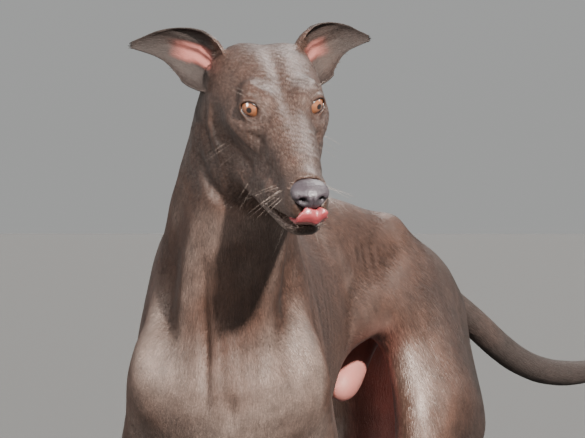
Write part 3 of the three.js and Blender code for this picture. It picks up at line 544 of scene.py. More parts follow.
# What the fingers would press into the clay: each line a place, its widths and its height, millimetres.
headForms = [  # in the head's frame, mirrored to both sides
    ((128.0, 0.0, -5.0), (7.0, 11.0, 6.0), 1.5),  # where the bridge meets the nose
    ((-20.0, 0.0, 29.0), (30.0, 4.5, 12.0), -2.3),  # furrow of the forehead
    ((20.0, 0.0, 17.0), (16.0, 5.0, 10.0), -1.7),  # stop
    ((4.0, 15.0, 22.0), (8.0, 5.5, 6.0), 1.7),  # inner end of the brow
    ((27.0, 20.0, -2.0), (9.0, 4.5, 7.0), -2.4),  # hollow before the inner corner
    ((-38.0, 38.0, 12.0), (15.0, 8.0, 10.0), -1.9),  # temple
    ((-8.0, 30.0, 24.0), (9.0, 5.0, 5.0), 1.3),  # outer brow
    ((-55.0, 16.0, 33.0), (22.0, 7.0, 9.0), 0.9),  # swell of the crown
    ((6.0, 36.0, -9.0), (13.0, 6.0, 4.5), 0.9),  # lower lid's pad
    ((60.0, 19.0, -24.0), (22.0, 7.0, 4.0), -1.2),  # between the muzzle's bridge and the lip
    ((84.0, 17.0, -34.0), (16.0, 6.0, 6.0), 1.0),  # lip's swelling
    ((124.0, 12.0, -30.0), (9.0, 6.0, 8.0), 0.8),  # whisker cushion
    ((-20.0, 44.0, -30.0), (8.0, 8.0, 14.0), -1.0),  # hollow in front of the jaw muscle
    ((-92.0, 30.0, 18.0), (10.0, 8.0, 8.0), -0.8),  # in front of the ear
    ((34.0, 27.0, -58.0), (12.0, 8.0, 4.0), 1.2),  # lip over the corner of the mouth
]
bodyForms = [  # on the straight body
    ((150.0, -22.0, 575.0), (40.0, 4.5, 55.0), -4.5),  # the neck's right groove
    ((155.0, 30.0, 590.0), (40.0, 5.0, 50.0), -2.5),
    ((160.0, 3.0, 492.0), (20.0, 4.0, 16.0), -3.0),  # over the breastbone
    ((60.0, 74.0, 545.0), (16.0, 20.0, 34.0), -1.0),  # in front of the shoulder blade
    ((60.0, -74.0, 545.0), (16.0, 20.0, 34.0), -1.0),
]


# Ridges and creases along a line: places, half width and height, millimetres.
headStrokes = [
    (((-15, 47, -14), (0, 40, -17), (17, 32, -23), (38, 25, -25)), 3.6, 1.7),  # ridge of the cheek
    (((10, 36, -8), (28, 29, -11), (50, 23, -13)), 3.4, -1.5),  # hollow over it
    (((-29, 46, -38), (-10, 38, -41), (10, 30, -46)), 4.2, -1.5),  # hollow under it
    (((48, 24, -24), (68, 22, -15)), 4.0, 1.2),
    (((-6, 40, -6), (9, 35, -5), (20, 28, -2), (26, 23, 4)), 1.4, -0.9),  # fold of the lower lid
    (((-4, 40, -10), (11, 36, -10), (24, 28, -8)), 1.8, 0.7),
    (((-14, 38, 10), (2, 33, 20), (12, 24, 20)), 1.4, -0.9),  # crease over the upper lid
    (((-64, 54, -20), (-60, 54, -34), (-48, 53, -47), (-34, 49, -56)), 4.5, 1.8),  # edge of the jaw muscle
    (((-74, 54, -26), (-68, 56, -44), (-56, 55, -60), (-40, 50, -70)), 4.5, -2.2),
    (((5, 36, -60), (27, 31, -61)), 2.2, -1.0),  # fold behind the corner of the mouth
    (((8, 35, -52), (30, 30, -54), (52, 25, -50)), 2.4, 0.9),
    (((74, 21, -12), (88, 18, -22), (92, 19, -34)), 2.2, -0.7),
    (((62, 22, -20), (74, 20, -30), (78, 22, -40)), 2.0, 0.6),
]
earStrokes = [  # places along and across the ear's line: folds of its cup
    ((0.06, 0.62), 5.5, 2.0, 1.5), ((0.12, 0.50), -4.5, 2.0, 1.3),
    ((0.30, 0.80), 11.5, 2.4, 1.1), ((0.10, 0.75), 0.5, 2.0, -1.2),
]
bodyStrokes = [  # on the straight body
    (((188, -27, 735), (202, -21, 715), (216, -12, 700), (222, 0, 688), (226, 14, 684)), 5.0, -4.0),  # under the jaw
    (((191, -22, 634), (179, -24, 598), (172, -21, 561), (172, -20, 505), (168, -18, 470)), 3.6, -3.2),  # neck's groove
    (((183, -12, 604), (177, -6, 560), (172, -3, 508)), 3.0, -1.6),
    (((186, -34, 660), (173, -39, 640), (163, -43, 598), (157, -45, 545)), 7.0, 1.8),
    (((180, 32, 600), (160, 42, 561), (158, 48, 515)), 7.0, 1.8),
    (((186, 14, 610), (178, 18, 560), (170, 20, 500)), 4.0, -1.6),
    (((172, 4, 506), (167, 5, 478)), 4.0, -2.6),  # notch of the breastbone
]
sideStrokes = [  # the same, on both sides
    (((-368, 58, 650), (-373, 60, 620)), 2.4, -1.2),  # flank, where the loins bend
    (((-385, 58, 650), (-391, 60, 618)), 2.4, -1.2),
    (((-400, 59, 646), (-407, 60, 620)), 2.4, -1.0),
    (((-352, 60, 652), (-356, 62, 628)), 2.6, -0.8),
    (((-270, 79, 540), (-305, 74, 553), (-330, 75, 572), (-366, 70, 590), (-407, 69, 605),
    (-447, 72, 629)), 10.0, 1.6),
    (((-290, 76, 580), (-330, 68, 600), (-370, 64, 618)), 9.0, -2.2),
    (((-520, 96, 560), (-530, 100, 520), (-526, 100, 480)), 6.0, -2.0),  # between the muscles of the thigh
    (((-470, 92, 600), (-480, 98, 550), (-480, 98, 500)), 7.0, 1.8),
    (((30, 84, 640), (50, 90, 590), (60, 92, 540)), 6.0, -2.0),  # edge of the shoulder blade
    (((70, 88, 500), (40, 92, 470), (10, 90, 450)), 6.0, -2.0),
    (((-10, 88, 620), (-14, 92, 560), (-30, 86, 500)), 7.0, -1.8),
]


strokePlan = {"head": 1.5, "sides": 0.6, "ripple": 0.22, "ribs": 0.16, "ribsApart": 24.0}


def strokeHeights(points, strokes):
    up = np.zeros(len(points))
    for line, width, height in strokes:
        at, away = lineDistance(points, line)
        ends = 0.35 + 0.65 * np.sin(np.clip(at, 0, 1) * math.pi) ** 0.7
        up += height * np.exp(-(away / width) ** 2 / 2) * ends
    return up


def openingAt(turn, sign):  # how far the lids open off the gaze, degrees
    turn = turn - sign * math.radians(lidPlan["tilt"])
    high = lidPlan["above"] if math.sin(turn) > 0 else lidPlan["below"]
    power = lidPlan["corner"]
    return (abs(math.cos(turn) / lidPlan["across"]) ** power + abs(math.sin(turn) / high) ** power) ** (-1 / power)


def lidShell(sign):
    eye, gaze, across, upward = eyeFrame(sign)
    columns, rows = 48, 12
    points, faces = [], []
    for j in range(columns):
        turn = j / columns * 2 * math.pi
        opening = openingAt(turn, sign)
        for i in range(2 * rows):
            k = i if i < rows else 2 * rows - 1 - i
            t = (k / (rows - 1)) ** 1.5
            angle = math.radians(opening + (lidPlan["reach"] - opening) * t)
            radius = lidPlan["inner"]
            if i >= rows:
                radius = lidPlan["outer"] - 1.0 * (1 - min(t * 12, 1)) ** 2
            way = gaze * math.cos(angle) + (across * math.cos(turn) + upward * math.sin(turn)) * math.sin(angle)
            points.append(eye + way * radius)
    ring = 2 * rows
    for j in range(columns):
        for i in range(ring):
            a, b = j * ring + i, j * ring + (i + 1) % ring
            c, d = ((j + 1) % columns) * ring + i, ((j + 1) % columns) * ring + (i + 1) % ring
            faces.append((a, b, d, c))
    mesh = meshOf("lidShell", headToRow(points), faces)
    part = bmesh.new()
    part.from_mesh(mesh)
    bmesh.ops.recalc_face_normals(part, faces=part.faces)
    part.to_mesh(mesh)
    part.free()
    return mesh


def shapeSkin(mesh):
    point = places(mesh)
    normal = normalsOf(mesh)
    straight = fromRow(point)
    s = squareLegs(straight)
    h = straightToHead(straight)
    m = masksOf(s, h)
    up = np.zeros(len(point))
    nearHead = h[:, 0] > -125
    mirrored = mirror(h)
    for middle, widths, height in headForms:
        up += nearHead * height * bell(mirrored, middle, widths)
    for middle, widths, height in bodyForms:
        up += height * bell(straight, middle, widths)
    up += strokePlan["head"] * nearHead * strokeHeights(mirrored, headStrokes)
    waves = np.sin(h[:, 1] * 0.55 + h[:, 2] * 0.47 + 1.1 * np.sin(h[:, 0] * 0.33))
    ripple = np.sin(h[:, 0] * 0.62 + 1.3 * np.sin(h[:, 1] * 0.41)) * waves
    up += strokePlan["ripple"] * m["head"] * (1 - m["ear"]) * ripple * smoothStep(115, 90, h[:, 0])
    for sign in (1, -1):
        line = earLine(sign)
        at, away = alongEar(h, sign)
        back = unit(np.array(earPlan["back"]) * [1, sign, 1])
        run = unit(line[1:] - line[:-1])[np.clip((at * 4).astype(int), 0, 3)]
        spot = np.column_stack([np.interp(at, np.linspace(0, 1, 5), line[:, k]) for k in range(3)])
        over = ((h - spot) * np.cross(run, back)).sum(1) * sign
        cup = -(normal @ turnRow(back[None] @ headTurn.T, 282.0)[0])
        own = m["ear"] * (h[:, 1] * sign > 0) * smoothStep(0.0, 0.5, cup)
        for (first, last), middle, width, height in earStrokes:
            ends = smoothStep(first - 0.08, first + 0.06, at) * smoothStep(last + 0.08, last - 0.06, at)
            up += own * height * ends * np.exp(-((over - middle) / width) ** 2 / 2)
    up += strokeHeights(straight, bodyStrokes) + strokePlan["sides"] * strokeHeights(mirror(s), sideStrokes)
    ribs = smoothStep(-30, -70, s[:, 0]) * smoothStep(-230, -190, s[:, 0]) * smoothStep(430, 470, s[:, 2])
    ribs = ribs * smoothStep(640, 600, s[:, 2]) * smoothStep(50, 65, np.abs(s[:, 1]))
    along = s[:, 0] + 0.45 * (s[:, 2] - 500) + 3 * np.sin(s[:, 2] / 31 + 0.7 * np.sign(s[:, 1]))
    ribs = ribs * (0.6 + 0.4 * np.sin(s[:, 0] / 47)) * np.sin(along / strokePlan["ribsApart"] * 2 * math.pi)
    up += strokePlan["ribs"] * ribs
    inset = skinPlan["inset"] * (1 - 0.6 * m["head"]) * (1 - 0.7 * m["ear"]) * (1 - 0.5 * m["foot"])
    point = point + normal * ((up - inset) / 1000)[:, None]
    # room for the eyeballs
    for sign in (1, -1):
        eye = headToRow([eyeFrame(sign)[0]])[0]
        away = np.linalg.norm(point - eye, axis=1)
        near = np.clip((bodyPlan["eyeRadius"] + 0.3) / 1000 - away, 0, 0.003)
        point = point + unit(point - eye) * (near * (away > 0.0095))[:, None]
    point[:, 2] = np.maximum(point[:, 2], 0.0)
    setPlaces(mesh, point)


def thin(piece, faces):
    triangles = sum(len(p.vertices) - 2 for p in piece.data.polygons)
    modifier = piece.modifiers.new("thin", "DECIMATE")
    modifier.ratio = min(faces / triangles, 1)
    applyAll(piece)


def makeSkin():
    grow = skinPlan["grow"]
    point = Vector(toRow([skinPlan["seam"]])[0])
    normal = Vector(turnRow([skinPlan["seamNormal"]], 126.0)[0]).normalized()
    # the head and the top of the neck, fine
    total = bmesh.new()
    addNodes(total, ["neck"], grow)
    held = bpy.data.meshes.new("held")
    total.to_mesh(held)
    total.free()
    keepSide(held, point - normal * 0.03, normal, True)
    total = bmesh.new()
    total.from_mesh(held)
    addNodes(total, ["head", "jaw", "ear_left", "ear_right"], grow)
    for sign in (1, -1):
        total.from_mesh(lidShell(sign))
    mesh = bpy.data.meshes.new("headHalf")
    total.to_mesh(mesh)
    total.free()
    headHalf = newPiece("headHalf", mesh)
    remesh(headHalf, skinPlan["headVoxel"])
    m = placeMasks(headHalf.data)
    print("head remeshed:", len(headHalf.data.polygons), "faces")
    smoothBy(headHalf, (1 - m["head"]) * (1 - m["ear"]), 360)
    smoothBy(headHalf, m["head"] * (1 - m["ear"]), 24)
    smoothBy(headHalf, m["ear"], 9)
    # the rest, coarser
    bodyHalf = nodeCopy([n for n in flesh if n not in ("head", "jaw", "ear_left", "ear_right")],
        "bodyHalf", grow)
    remesh(bodyHalf, skinPlan["bodyVoxel"])
    m = placeMasks(bodyHalf.data)
    print("body remeshed:", len(bodyHalf.data.polygons), "faces")
    smoothBy(bodyHalf, (1 - m["leg"]) * (1 - m["tail"]), 95)
    smoothBy(bodyHalf, np.clip(m["leg"] + m["tail"], 0, 1) * (1 - m["foot"]), 20)
    smoothBy(bodyHalf, m["foot"] * m["leg"], 5)
    shapeSkin(headHalf.data)
    shapeSkin(bodyHalf.data)
    keepSide(headHalf.data, point, normal, False)
    keepSide(bodyHalf.data, point - normal * 0.0014, -normal, False)
    thin(headHalf, skinPlan["headFaces"])
    thin(bodyHalf, skinPlan["bodyFaces"])
    mesh = zipHalves(headHalf.data, bodyHalf.data, "skin", np.array(normal))
    piece = newPiece("skin", mesh)
    for half in (headHalf, bodyHalf):
        bpy.data.objects.remove(half)
    away = (places(piece.data) - np.array(point)) @ np.array(normal)
    smoothBy(piece, np.exp(-(away / 0.007) ** 2), 12)
    print("skin:", sum(len(p.vertices) - 2 for p in piece.data.polygons), "triangles")
    return piece


skin = makeSkin()
skin.data.shade_smooth()
print("skin done")


# The marks of the coat, as soft masks on any mesh that carries it.
coatMarks = {
    "chin": ((98.0, 0.0, -60.0), (38.0, 20.0, 13.0)),
    "sheath": ((-490.0, 0.0, 550.0), (-464.0, 0.0, 532.0), (-442.0, 0.0, 510.0), (-428.0, 0.0, 497.0)),
    "belly": ((-395.0, 0.0, 520.0), (80.0, 34.0, 42.0)),
    "innerThigh": ((-470.0, 40.0, 480.0), (52.0, 24.0, 75.0)),
    # painted shadow: the coat under the jaw darkened where the head's shadow falls on the neck
    "throatShadow": ((112.0, 0.0, 625.0), (70.0, 36.0, 70.0)),
    "underside": ((-250.0, 60.0, 500.0), (130.0, 60.0, 45.0)),
}
# How pale the coat is, 0 to 1, and what each part adds or takes: the chest's share is painted sheen, the throat's
# painted shadow.
toneAt = {"trunk": 0.58, "rump": -0.50, "ribs": -0.12, "chest": 0.30, "throatShadow": -0.55, "underside": 0.10}
toneLess = {"ear": 0.95, "head": 0.45, "tail": 0.95, "leg": 0.35}


def marksOf(point, normal):  # points and normals in the row frame
    straight = fromRow(point)
    s = squareLegs(straight)
    h = straightToHead(straight)
    m = masksOf(s, h)
    turn = np.interp(straight[:, 0], spineX, spineTurn)
    inBody = np.column_stack([
        normal[:, 0] * np.cos(turn) + normal[:, 1] * np.sin(turn),
        -normal[:, 0] * np.sin(turn) + normal[:, 1] * np.cos(turn),
        normal[:, 2],
    ])
    inHead = inBody @ headTurn
    mirrored, sideways = mirror(h), mirror(s)
    rump = smoothStep(-430, -505, s[:, 0])
    ribs = smoothStep(-20, -60, s[:, 0]) * smoothStep(-260, -200, s[:, 0])
    # painted sheen: the coat of chest and neck made paler where it faces forward, towards the light
    chest = smoothStep(10, 80, s[:, 0]) * smoothStep(300, 360, s[:, 2]) * smoothStep(0.0, 0.6, inBody[:, 0])
    tone = toneAt["trunk"] + toneAt["rump"] * rump + toneAt["ribs"] * ribs
    # the throat's share darkens the coat as painted shadow under the head
    tone += toneAt["chest"] * chest + toneAt["throatShadow"] * bell(sideways, *coatMarks["throatShadow"])
    for key, less in toneLess.items():
        tone = tone * (1 - less * m[key])
    tone += toneAt["underside"] * bell(sideways, *coatMarks["underside"])
    # the cupped side of the ears
    backs = np.array(earPlan["back"]) * np.column_stack([np.ones(len(h)), np.sign(h[:, 1]), np.ones(len(h))])
    facing = -(inHead * unit(backs)).sum(1)
    along, away = alongEar(mirrored, 1)
    along = along - earPlan["cupFurther"] * (h[:, 1] < 0)
    cup = m["ear"] * smoothStep(0.15, 0.55, facing)
    cup = cup * smoothStep(11, 5, away) * smoothStep(0.66, 0.46, along) * smoothStep(0.10, 0.22, along)
    at, near = lineDistance(s, coatMarks["sheath"])
    sheath = smoothStep(30, 23, near) * smoothStep(0.05, 0.4, at) * smoothStep(30, 22, np.abs(s[:, 1]))
    sheath = sheath * (s[:, 0] > -500) * (s[:, 0] < -395) * (s[:, 2] < 545)
    # bare reddish skin under the belly and inside the thigh, where it faces down or inwards; its warm red is partly
    # painted light, the glow that reaches into this shaded hollow
    belly = bell(sideways, *coatMarks["belly"]) * smoothStep(0.15, -0.45, inBody[:, 2])
    inwards = -inBody[:, 1] * np.sign(s[:, 1])
    thigh = bell(sideways, *coatMarks["innerThigh"]) * smoothStep(0.1, 0.6, inwards)
    pale = 0.95 * bell(mirrored, *coatMarks["chin"]) + 0.12 * m["head"] * smoothStep(-40, 60, h[:, 0])
    pale = pale + 0.12 * m["head"] * (1 - m["ear"])
    return s, h, m, {
        "tone": np.clip(tone, 0, 1),
        "pale": np.clip(pale, 0, 1),
        "blush": np.clip(0.8 * cup + 1.1 * belly + 1.1 * thigh + sheath, 0, 1),
        "bare": np.clip(0.75 * cup + 1.2 * sheath, 0, 1),
    }


# Node helpers.
def addNode(tree, kind, **values):
    node = tree.nodes.new(kind)
    for key, value in values.items():
        setattr(node, key, value)
    return node


def maths(tree, operation, a, b=None, c=None, clamp=False):
    node = addNode(tree, "ShaderNodeMath", operation=operation, use_clamp=clamp)
    for i, value in enumerate((a, b, c)):
        if isinstance(value, (int, float)):
            node.inputs[i].default_value = value
        elif value is not None:
            tree.links.new(value, node.inputs[i])
    return node.outputs[0]


def mixed(tree, factor, a, b, blend="MIX"):
    node = addNode(tree, "ShaderNodeMix", data_type="RGBA", blend_type=blend, clamp_factor=True)
    for i, value in ((0, factor), (6, a), (7, b)):
        if isinstance(value, (int, float)):
            node.inputs[i].default_value = value
        elif isinstance(value, tuple):
            node.inputs[i].default_value = (*value, 1)
        else:
            tree.links.new(value, node.inputs[i])
    return node.outputs[2]


def noise(tree, vector, scale, detail=2.0, rough=0.5):
    node = addNode(tree, "ShaderNodeTexNoise")
    setInputs(node, {"Scale": scale, "Detail": detail, "Roughness": rough})
    tree.links.new(vector, node.inputs["Vector"])
    return node.outputs["Fac"]


def objectPlace(tree):
    return addNode(tree, "ShaderNodeTexCoord").outputs["Object"]


def dots(tree, place, scale):  # distance from the nearest of scattered points
    node = addNode(tree, "ShaderNodeTexVoronoi", feature="F1")
    node.inputs["Scale"].default_value = scale
    tree.links.new(place, node.inputs["Vector"])
    return node.outputs["Distance"]


def between(tree, value, low, width):  # 0 below low, 1 a width above it
    node = addNode(tree, "ShaderNodeMapRange")
    setInputs(node, {"From Min": low, "From Max": low + width})
    tree.links.new(value, node.inputs["Value"])
    return node.outputs[0]


def addBump(tree, shader, height, strength, distance, invert=False):
    node = addNode(tree, "ShaderNodeBump", invert=invert)
    setInputs(node, {"Strength": strength, "Distance": distance})
    tree.links.new(height, node.inputs["Height"])
    tree.links.new(node.outputs["Normal"], shader.inputs["Normal"])


def groupOf(name, inputs, outputs):
    group = bpy.data.node_groups.new(name, "ShaderNodeTree")
    for key, kind in inputs:
        group.interface.new_socket(name=key, in_out="INPUT", socket_type="NodeSocket" + kind)
    for key, kind in outputs:
        group.interface.new_socket(name=key, in_out="OUTPUT", socket_type="NodeSocket" + kind)
    return group, group.nodes.new("NodeGroupInput").outputs, group.nodes.new("NodeGroupOutput").inputs


coatLook = {
    "black": (0.0080, 0.0052, 0.0046),
    "brown": (0.036, 0.0185, 0.0132),
    # lit: painted sheen colour at the top of the tone, reached by the chest's painted sheen and by random paler patches
    # elsewhere
    "lit": (0.088, 0.065, 0.055),
    "rust": (0.066, 0.028, 0.016),
    "grey": (0.30, 0.235, 0.20),
    "darkFlesh": (0.220, 0.048, 0.036),
    "pinkFlesh": (0.205, 0.092, 0.080),
    "roughness": 0.34,
    "relief": 0.00022,
    "gloss": {"skinUnderCoat": 0.35, "shortCoat": 0.5},
    "glossTint": (1.0, 0.87, 0.80, 1),
    "undercoat": {"own": 0.45, "along": 0.2},  # what the skin has of a tuft's own shade and place along it
}


def makeCoatGroup():
    tree, given, out = groupOf(
        "coatColours",
        [("Place", "Vector"), ("Tone", "Float"), ("Pale", "Float"), ("Blush", "Float"), ("Bare", "Float"),
         ("Own", "Float"), ("Along", "Float")],
        [("Color", "Color"), ("Roughness", "Float"), ("Height", "Float")])
    place = given["Place"]
    broad = noise(tree, place, 13.0, 3.0)
    patch = noise(tree, place, 60.0, 3.0)
    fleck = noise(tree, place, 520.0, 2.0, 0.6)
    fine = noise(tree, place, 1700.0, 1.0)
    tone = maths(tree, "MULTIPLY_ADD", broad, 0.8, -0.4)
    tone = maths(tree, "ADD", tone, given["Tone"], clamp=True)
    darker = maths(tree, "MULTIPLY", tone, 1.67, clamp=True)
    # the top of the tone blends into the painted sheen colour
    paler = maths(tree, "MULTIPLY_ADD", tone, 2.5, -1.5, clamp=True)
    colour = mixed(tree, darker, coatLook["black"], coatLook["brown"])
    colour = mixed(tree, paler, colour, coatLook["lit"])
    rust = maths(tree, "MULTIPLY", maths(tree, "SUBTRACT", given["Own"], 0.75), 0.7, clamp=True)
    rust = maths(tree, "MULTIPLY", rust, tone)
    colour = mixed(tree, rust, colour, coatLook["rust"])
    light = maths(tree, "MULTIPLY_ADD", fleck, 1.0, 0.5)
    for value, more, least in ((given["Own"], 0.7, 0.65), (given["Along"], 0.25, 0.87), (patch, 1.1, 0.45)):
        light = maths(tree, "MULTIPLY", light, maths(tree, "MULTIPLY_ADD", value, more, least))
    lighting = addNode(tree, "ShaderNodeCombineXYZ")
    for i in range(3):
        tree.links.new(light, lighting.inputs[i])
    colour = mixed(tree, 1.0, colour, lighting.outputs[0], "MULTIPLY")
    grey = maths(tree, "GREATER_THAN", given["Own"], 0.55)
    grey = maths(tree, "MULTIPLY", grey, given["Pale"])
    grey = maths(tree, "MULTIPLY", grey, fleck)
    colour = mixed(tree, grey, colour, coatLook["grey"])
    flesh = mixed(tree, given["Bare"], coatLook["darkFlesh"], coatLook["pinkFlesh"])
    mottle = mixed(tree, maths(tree, "MULTIPLY", patch, 0.55), flesh, coatLook["darkFlesh"])
    share = maths(tree, "MULTIPLY_ADD", patch, 0.5, 0.72)
    share = maths(tree, "MULTIPLY", share, given["Blush"], clamp=True)
    colour = mixed(tree, share, colour, mottle)
    tree.links.new(colour, out["Color"])
    rough = maths(tree, "MULTIPLY_ADD", fleck, 0.24, coatLook["roughness"])
    rough = maths(tree, "MULTIPLY_ADD", given["Blush"], 0.14, rough)
    dull = maths(tree, "MULTIPLY_ADD", given["Tone"], -1.6, 0.32, clamp=True)
    rough = maths(tree, "ADD", rough, dull)
    tree.links.new(rough, out["Roughness"])
    height = maths(tree, "MULTIPLY_ADD", fine, 0.4, fleck)
    tree.links.new(height, out["Height"])
    return tree


coatGroup = makeCoatGroup()


def coatMaterial(name):
    material, tree, shader = plainMaterial(name)
    look = addNode(tree, "ShaderNodeGroup", node_tree=coatGroup)
    tree.links.new(objectPlace(tree), look.inputs["Place"])
    for key in ("Tone", "Pale", "Blush", "Bare", "Own", "Along"):
        carried = addNode(tree, "ShaderNodeAttribute", attribute_name=key.lower())
        tree.links.new(carried.outputs["Fac"], look.inputs[key])
    addBump(tree, shader, look.outputs["Height"], 0.5, coatLook["relief"])
    tree.links.new(look.outputs["Color"], shader.inputs["Base Color"])
    tree.links.new(look.outputs["Roughness"], shader.inputs["Roughness"])
    setInputs(shader, {"Specular IOR Level": coatLook["gloss"][name], "Specular Tint": coatLook["glossTint"]})
    return material


def markMesh(mesh):
    marks = marksOf(places(mesh), normalsOf(mesh))[3]
    for key, values in marks.items():
        setAttribute(mesh, key, values)
    for key, value in coatLook["undercoat"].items():
        setAttribute(mesh, key, np.full(len(mesh.vertices), value))


markMesh(skin.data)
skin.data.materials.append(coatMaterial("skinUnderCoat"))
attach(skin, "root")
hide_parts(*flesh)
print("skin coloured")


# The lie of the hair: guide strokes as (place, way), given for the left side.
bodyLie = (
    ((190, 20, 770), (-0.75, 0, -0.6)), ((170, 62, 690), (-0.62, 0, -0.78)),
    ((222, 22, 650), (-0.35, 0.05, -0.93)),
    ((190, 24, 540), (-0.15, 0.12, -1)), ((150, 78, 540), (-0.3, 0.15, -0.93)),
    ((172, 8, 450), (-0.55, 0.1, -0.8)),
    ((40, 0, 715), (-1, 0, -0.12)), ((60, 78, 620), (-0.55, 0, -0.83)), ((90, 90, 480), (-0.35, 0, -0.93)),
    ((-20, 88, 560), (-0.8, 0, -0.6)), ((-150, 0, 706), (-1, 0, 0)), ((-100, 92, 600), (-0.93, 0, -0.36)),
    ((-100, 72, 470), (-0.96, 0, -0.25)), ((-60, 0, 412), (-1, 0, 0)), ((-210, 0, 470), (-1, 0, 0.12)),
    ((-210, 75, 600), (-0.93, 0, -0.36)), ((-320, 58, 610), (-0.8, 0, -0.55)),
    ((-330, 30, 540), (-0.9, 0, 0.25)),
    ((-300, 0, 700), (-1, 0, 0)), ((-450, 0, 706), (-1, 0, -0.15)), ((-440, 72, 640), (-0.75, 0, -0.65)),
    ((-400, 78, 560), (-0.5, 0, -0.85)), ((-500, 92, 540), (-0.45, 0, -0.9)),
    ((-575, 60, 540), (-0.3, 0, -0.95)),
    ((-430, 92, 470), (-0.35, 0, -0.93)), ((-480, 34, 480), (-0.3, 0, -0.95)),
    ((-560, 0, 590), (-0.8, 0, -0.6)),
    ((70, 80, 380), (-0.1, 0, -1)), ((30, 80, 250), (0, 0, -1)), ((20, 78, 110), (0, 0, -1)),
    ((40, 76, 28), (0.9, 0, -0.4)),
    ((-500, 88, 400), (-0.55, 0, -0.83)), ((-580, 84, 310), (-0.6, 0, -0.8)),
    ((-650, 82, 210), (-0.1, 0, -1)),
    ((-640, 80, 110), (0.1, 0, -1)), ((-600, 80, 28), (0.9, 0, -0.4)), ((-435, 4, 520), (0.3, 0, -0.9)),
)
headLie = (
    ((118, 0, -4), (-1, 0, 0.1)), ((60, 0, 8), (-1, 0, 0.12)), ((12, 0, 26), (-1, 0, 0.2)),
    ((-35, 8, 36), (-1, 0.1, 0)),
    ((-85, 8, 34), (-1, 0.1, -0.15)), ((-125, 12, 14), (-0.85, 0.1, -0.5)), ((92, 18, -20), (-1, 0.05, -0.1)),
    ((90, 20, -44), (-0.92, 0, -0.35)), ((104, 5, -64), (-0.9, 0.1, -0.3)),
    ((30, 30, -20), (-1, 0.15, -0.12)),
    ((-25, 44, -8), (-1, 0.1, -0.2)), ((-10, 36, -60), (-0.92, 0, -0.4)), ((-62, 48, -34), (-0.8, 0.1, -0.6)),
    ((10, 5, -78), (-0.97, 0, -0.2)), ((-60, 12, -84), (-0.85, 0, -0.5)), ((0, 30, 26), (-0.8, 0.55, 0.15)),
    ((-40, 40, 20), (-0.95, 0.3, 0)), ((12, 36, -8), (-0.9, 0.2, -0.35)), ((124, 14, -24), (-0.9, 0.3, -0.3)),
    ((-110, 46, -30), (-0.6, 0, -0.8)),
)
tailStops = (
    (-556, 0, 616), (-606, 2, 602), (-650, 11, 581), (-690, 24, 556), (-730, 36, 528), (-775, 48, 508),
    (-830, 60, 500), (-900, 70, 503), (-950, 76, 513), (-978, 79, 521),
)


def blendLie(points, guides, reach):
    mirrored = mirror(points)
    total = np.zeros((len(points), 3))
    for place, way in guides:
        away = ((mirrored - np.array(place, float)) ** 2).sum(1)
        total += np.array(way, float) * (1 / (away + reach ** 2) ** 2)[:, None]
    total[:, 1] *= np.sign(points[:, 1])
    return unit(total)


def lieOf(point, normal, s, h, m):  # the way of the hair in the row frame, along the surface
    straight = fromRow(point)
    body = blendLie(s, bodyLie, 25.0)
    head = blendLie(h, headLie, 12.0)
    for sign in (1, -1):
        line = earLine(sign)
        at, away = alongEar(h, sign)
        run = line[1:] - line[:-1]
        part = np.clip((at * 4).astype(int), 0, 3)
        own = m["ear"] * (h[:, 1] * sign > 0)
        head = unit(head * (1 - own)[:, None] + unit(run)[part] * own[:, None])
    head = head @ headTurn.T
    stops = np.array(tailStops, float)
    at, away = lineDistance(s, stops)
    part = np.clip((at * (len(stops) - 1)).astype(int), 0, len(stops) - 2)
    tail = unit(stops[1:] - stops[:-1])[part]
    onHead = smoothStep(-150, -105, h[:, 0]) * m["head"]
    onHead = np.maximum(onHead, m["ear"])
    way = unit(body * (1 - m["tail"])[:, None] + tail * m["tail"][:, None])
    way = unit(way * (1 - onHead)[:, None] + head * onHead[:, None])
    way = turnRow(way, straight[:, 0])
    way = way - normal * (way * normal).sum(1)[:, None]
    return unit(way)


# The coat: closed slivers of four triangles that lie along the body, shortest on face and feet, millimetres.
tuftPlan = {
    "seed": 7,
    "turnBy": 10.0,  # degrees either way
    "lean": 9.0,  # degrees, and how round a tuft is shaded across its width
    "round": 0.95,
    "regions": {  # length, width, how often the skin is covered, and the ridge as a share of the width
        "trunk": (12.0, 1.0, 1.35, 0.07),
        "neck": (8.0, 0.68, 1.5, 0.11),
        "leg": (9.0, 1.2, 1.35, 0.08),
        "foot": (4.6, 0.85, 1.3, 0.10),
        "tail": (12.0, 1.15, 1.9, 0.10),
        "head": (4.2, 0.74, 1.35, 0.08),
        "ear": (4.2, 0.65, 1.2, 0.07),
    },
    "ridgeAt": 0.34,  # of the length
    "tip": (0.07, 0.13),  # how far it rises, on face, ears and feet, and elsewhere
    "sink": 0.03,
    "patch": 0.003,  # of a tuft on the bake map
    "bakeShare": 0.06,  # of the skin's triangles that the bake map is unwrapped from
    "loose": 0.45,  # of the length: a tip further than this from the skin keeps its own place
}
barePlan = {  # where no hair grows, millimetres and degrees
    "lid": (15.5, 49.0), "ball": 12.6, "nose": ((138.0, 0.0, -15.0), (17.0, 19.0, 13.0), 0.93),
    "mouth": (15.0, -72.0, -22.0), "tight": 3.5, "ground": 3.0,
}
rng = np.random.default_rng(tuftPlan["seed"])


def bigMesh(name, points, faces):
    mesh = bpy.data.meshes.new(name)
    mesh.vertices.add(len(points))
    mesh.vertices.foreach_set("co", np.asarray(points, np.float32).ravel())
    mesh.loops.add(len(faces) * 3)
    mesh.loops.foreach_set("vertex_index", np.asarray(faces, np.int32).ravel())
    mesh.polygons.add(len(faces))
    mesh.polygons.foreach_set("loop_start", np.arange(0, len(faces) * 3, 3, dtype=np.int32))
    mesh.update(calc_edges=True)
    return mesh


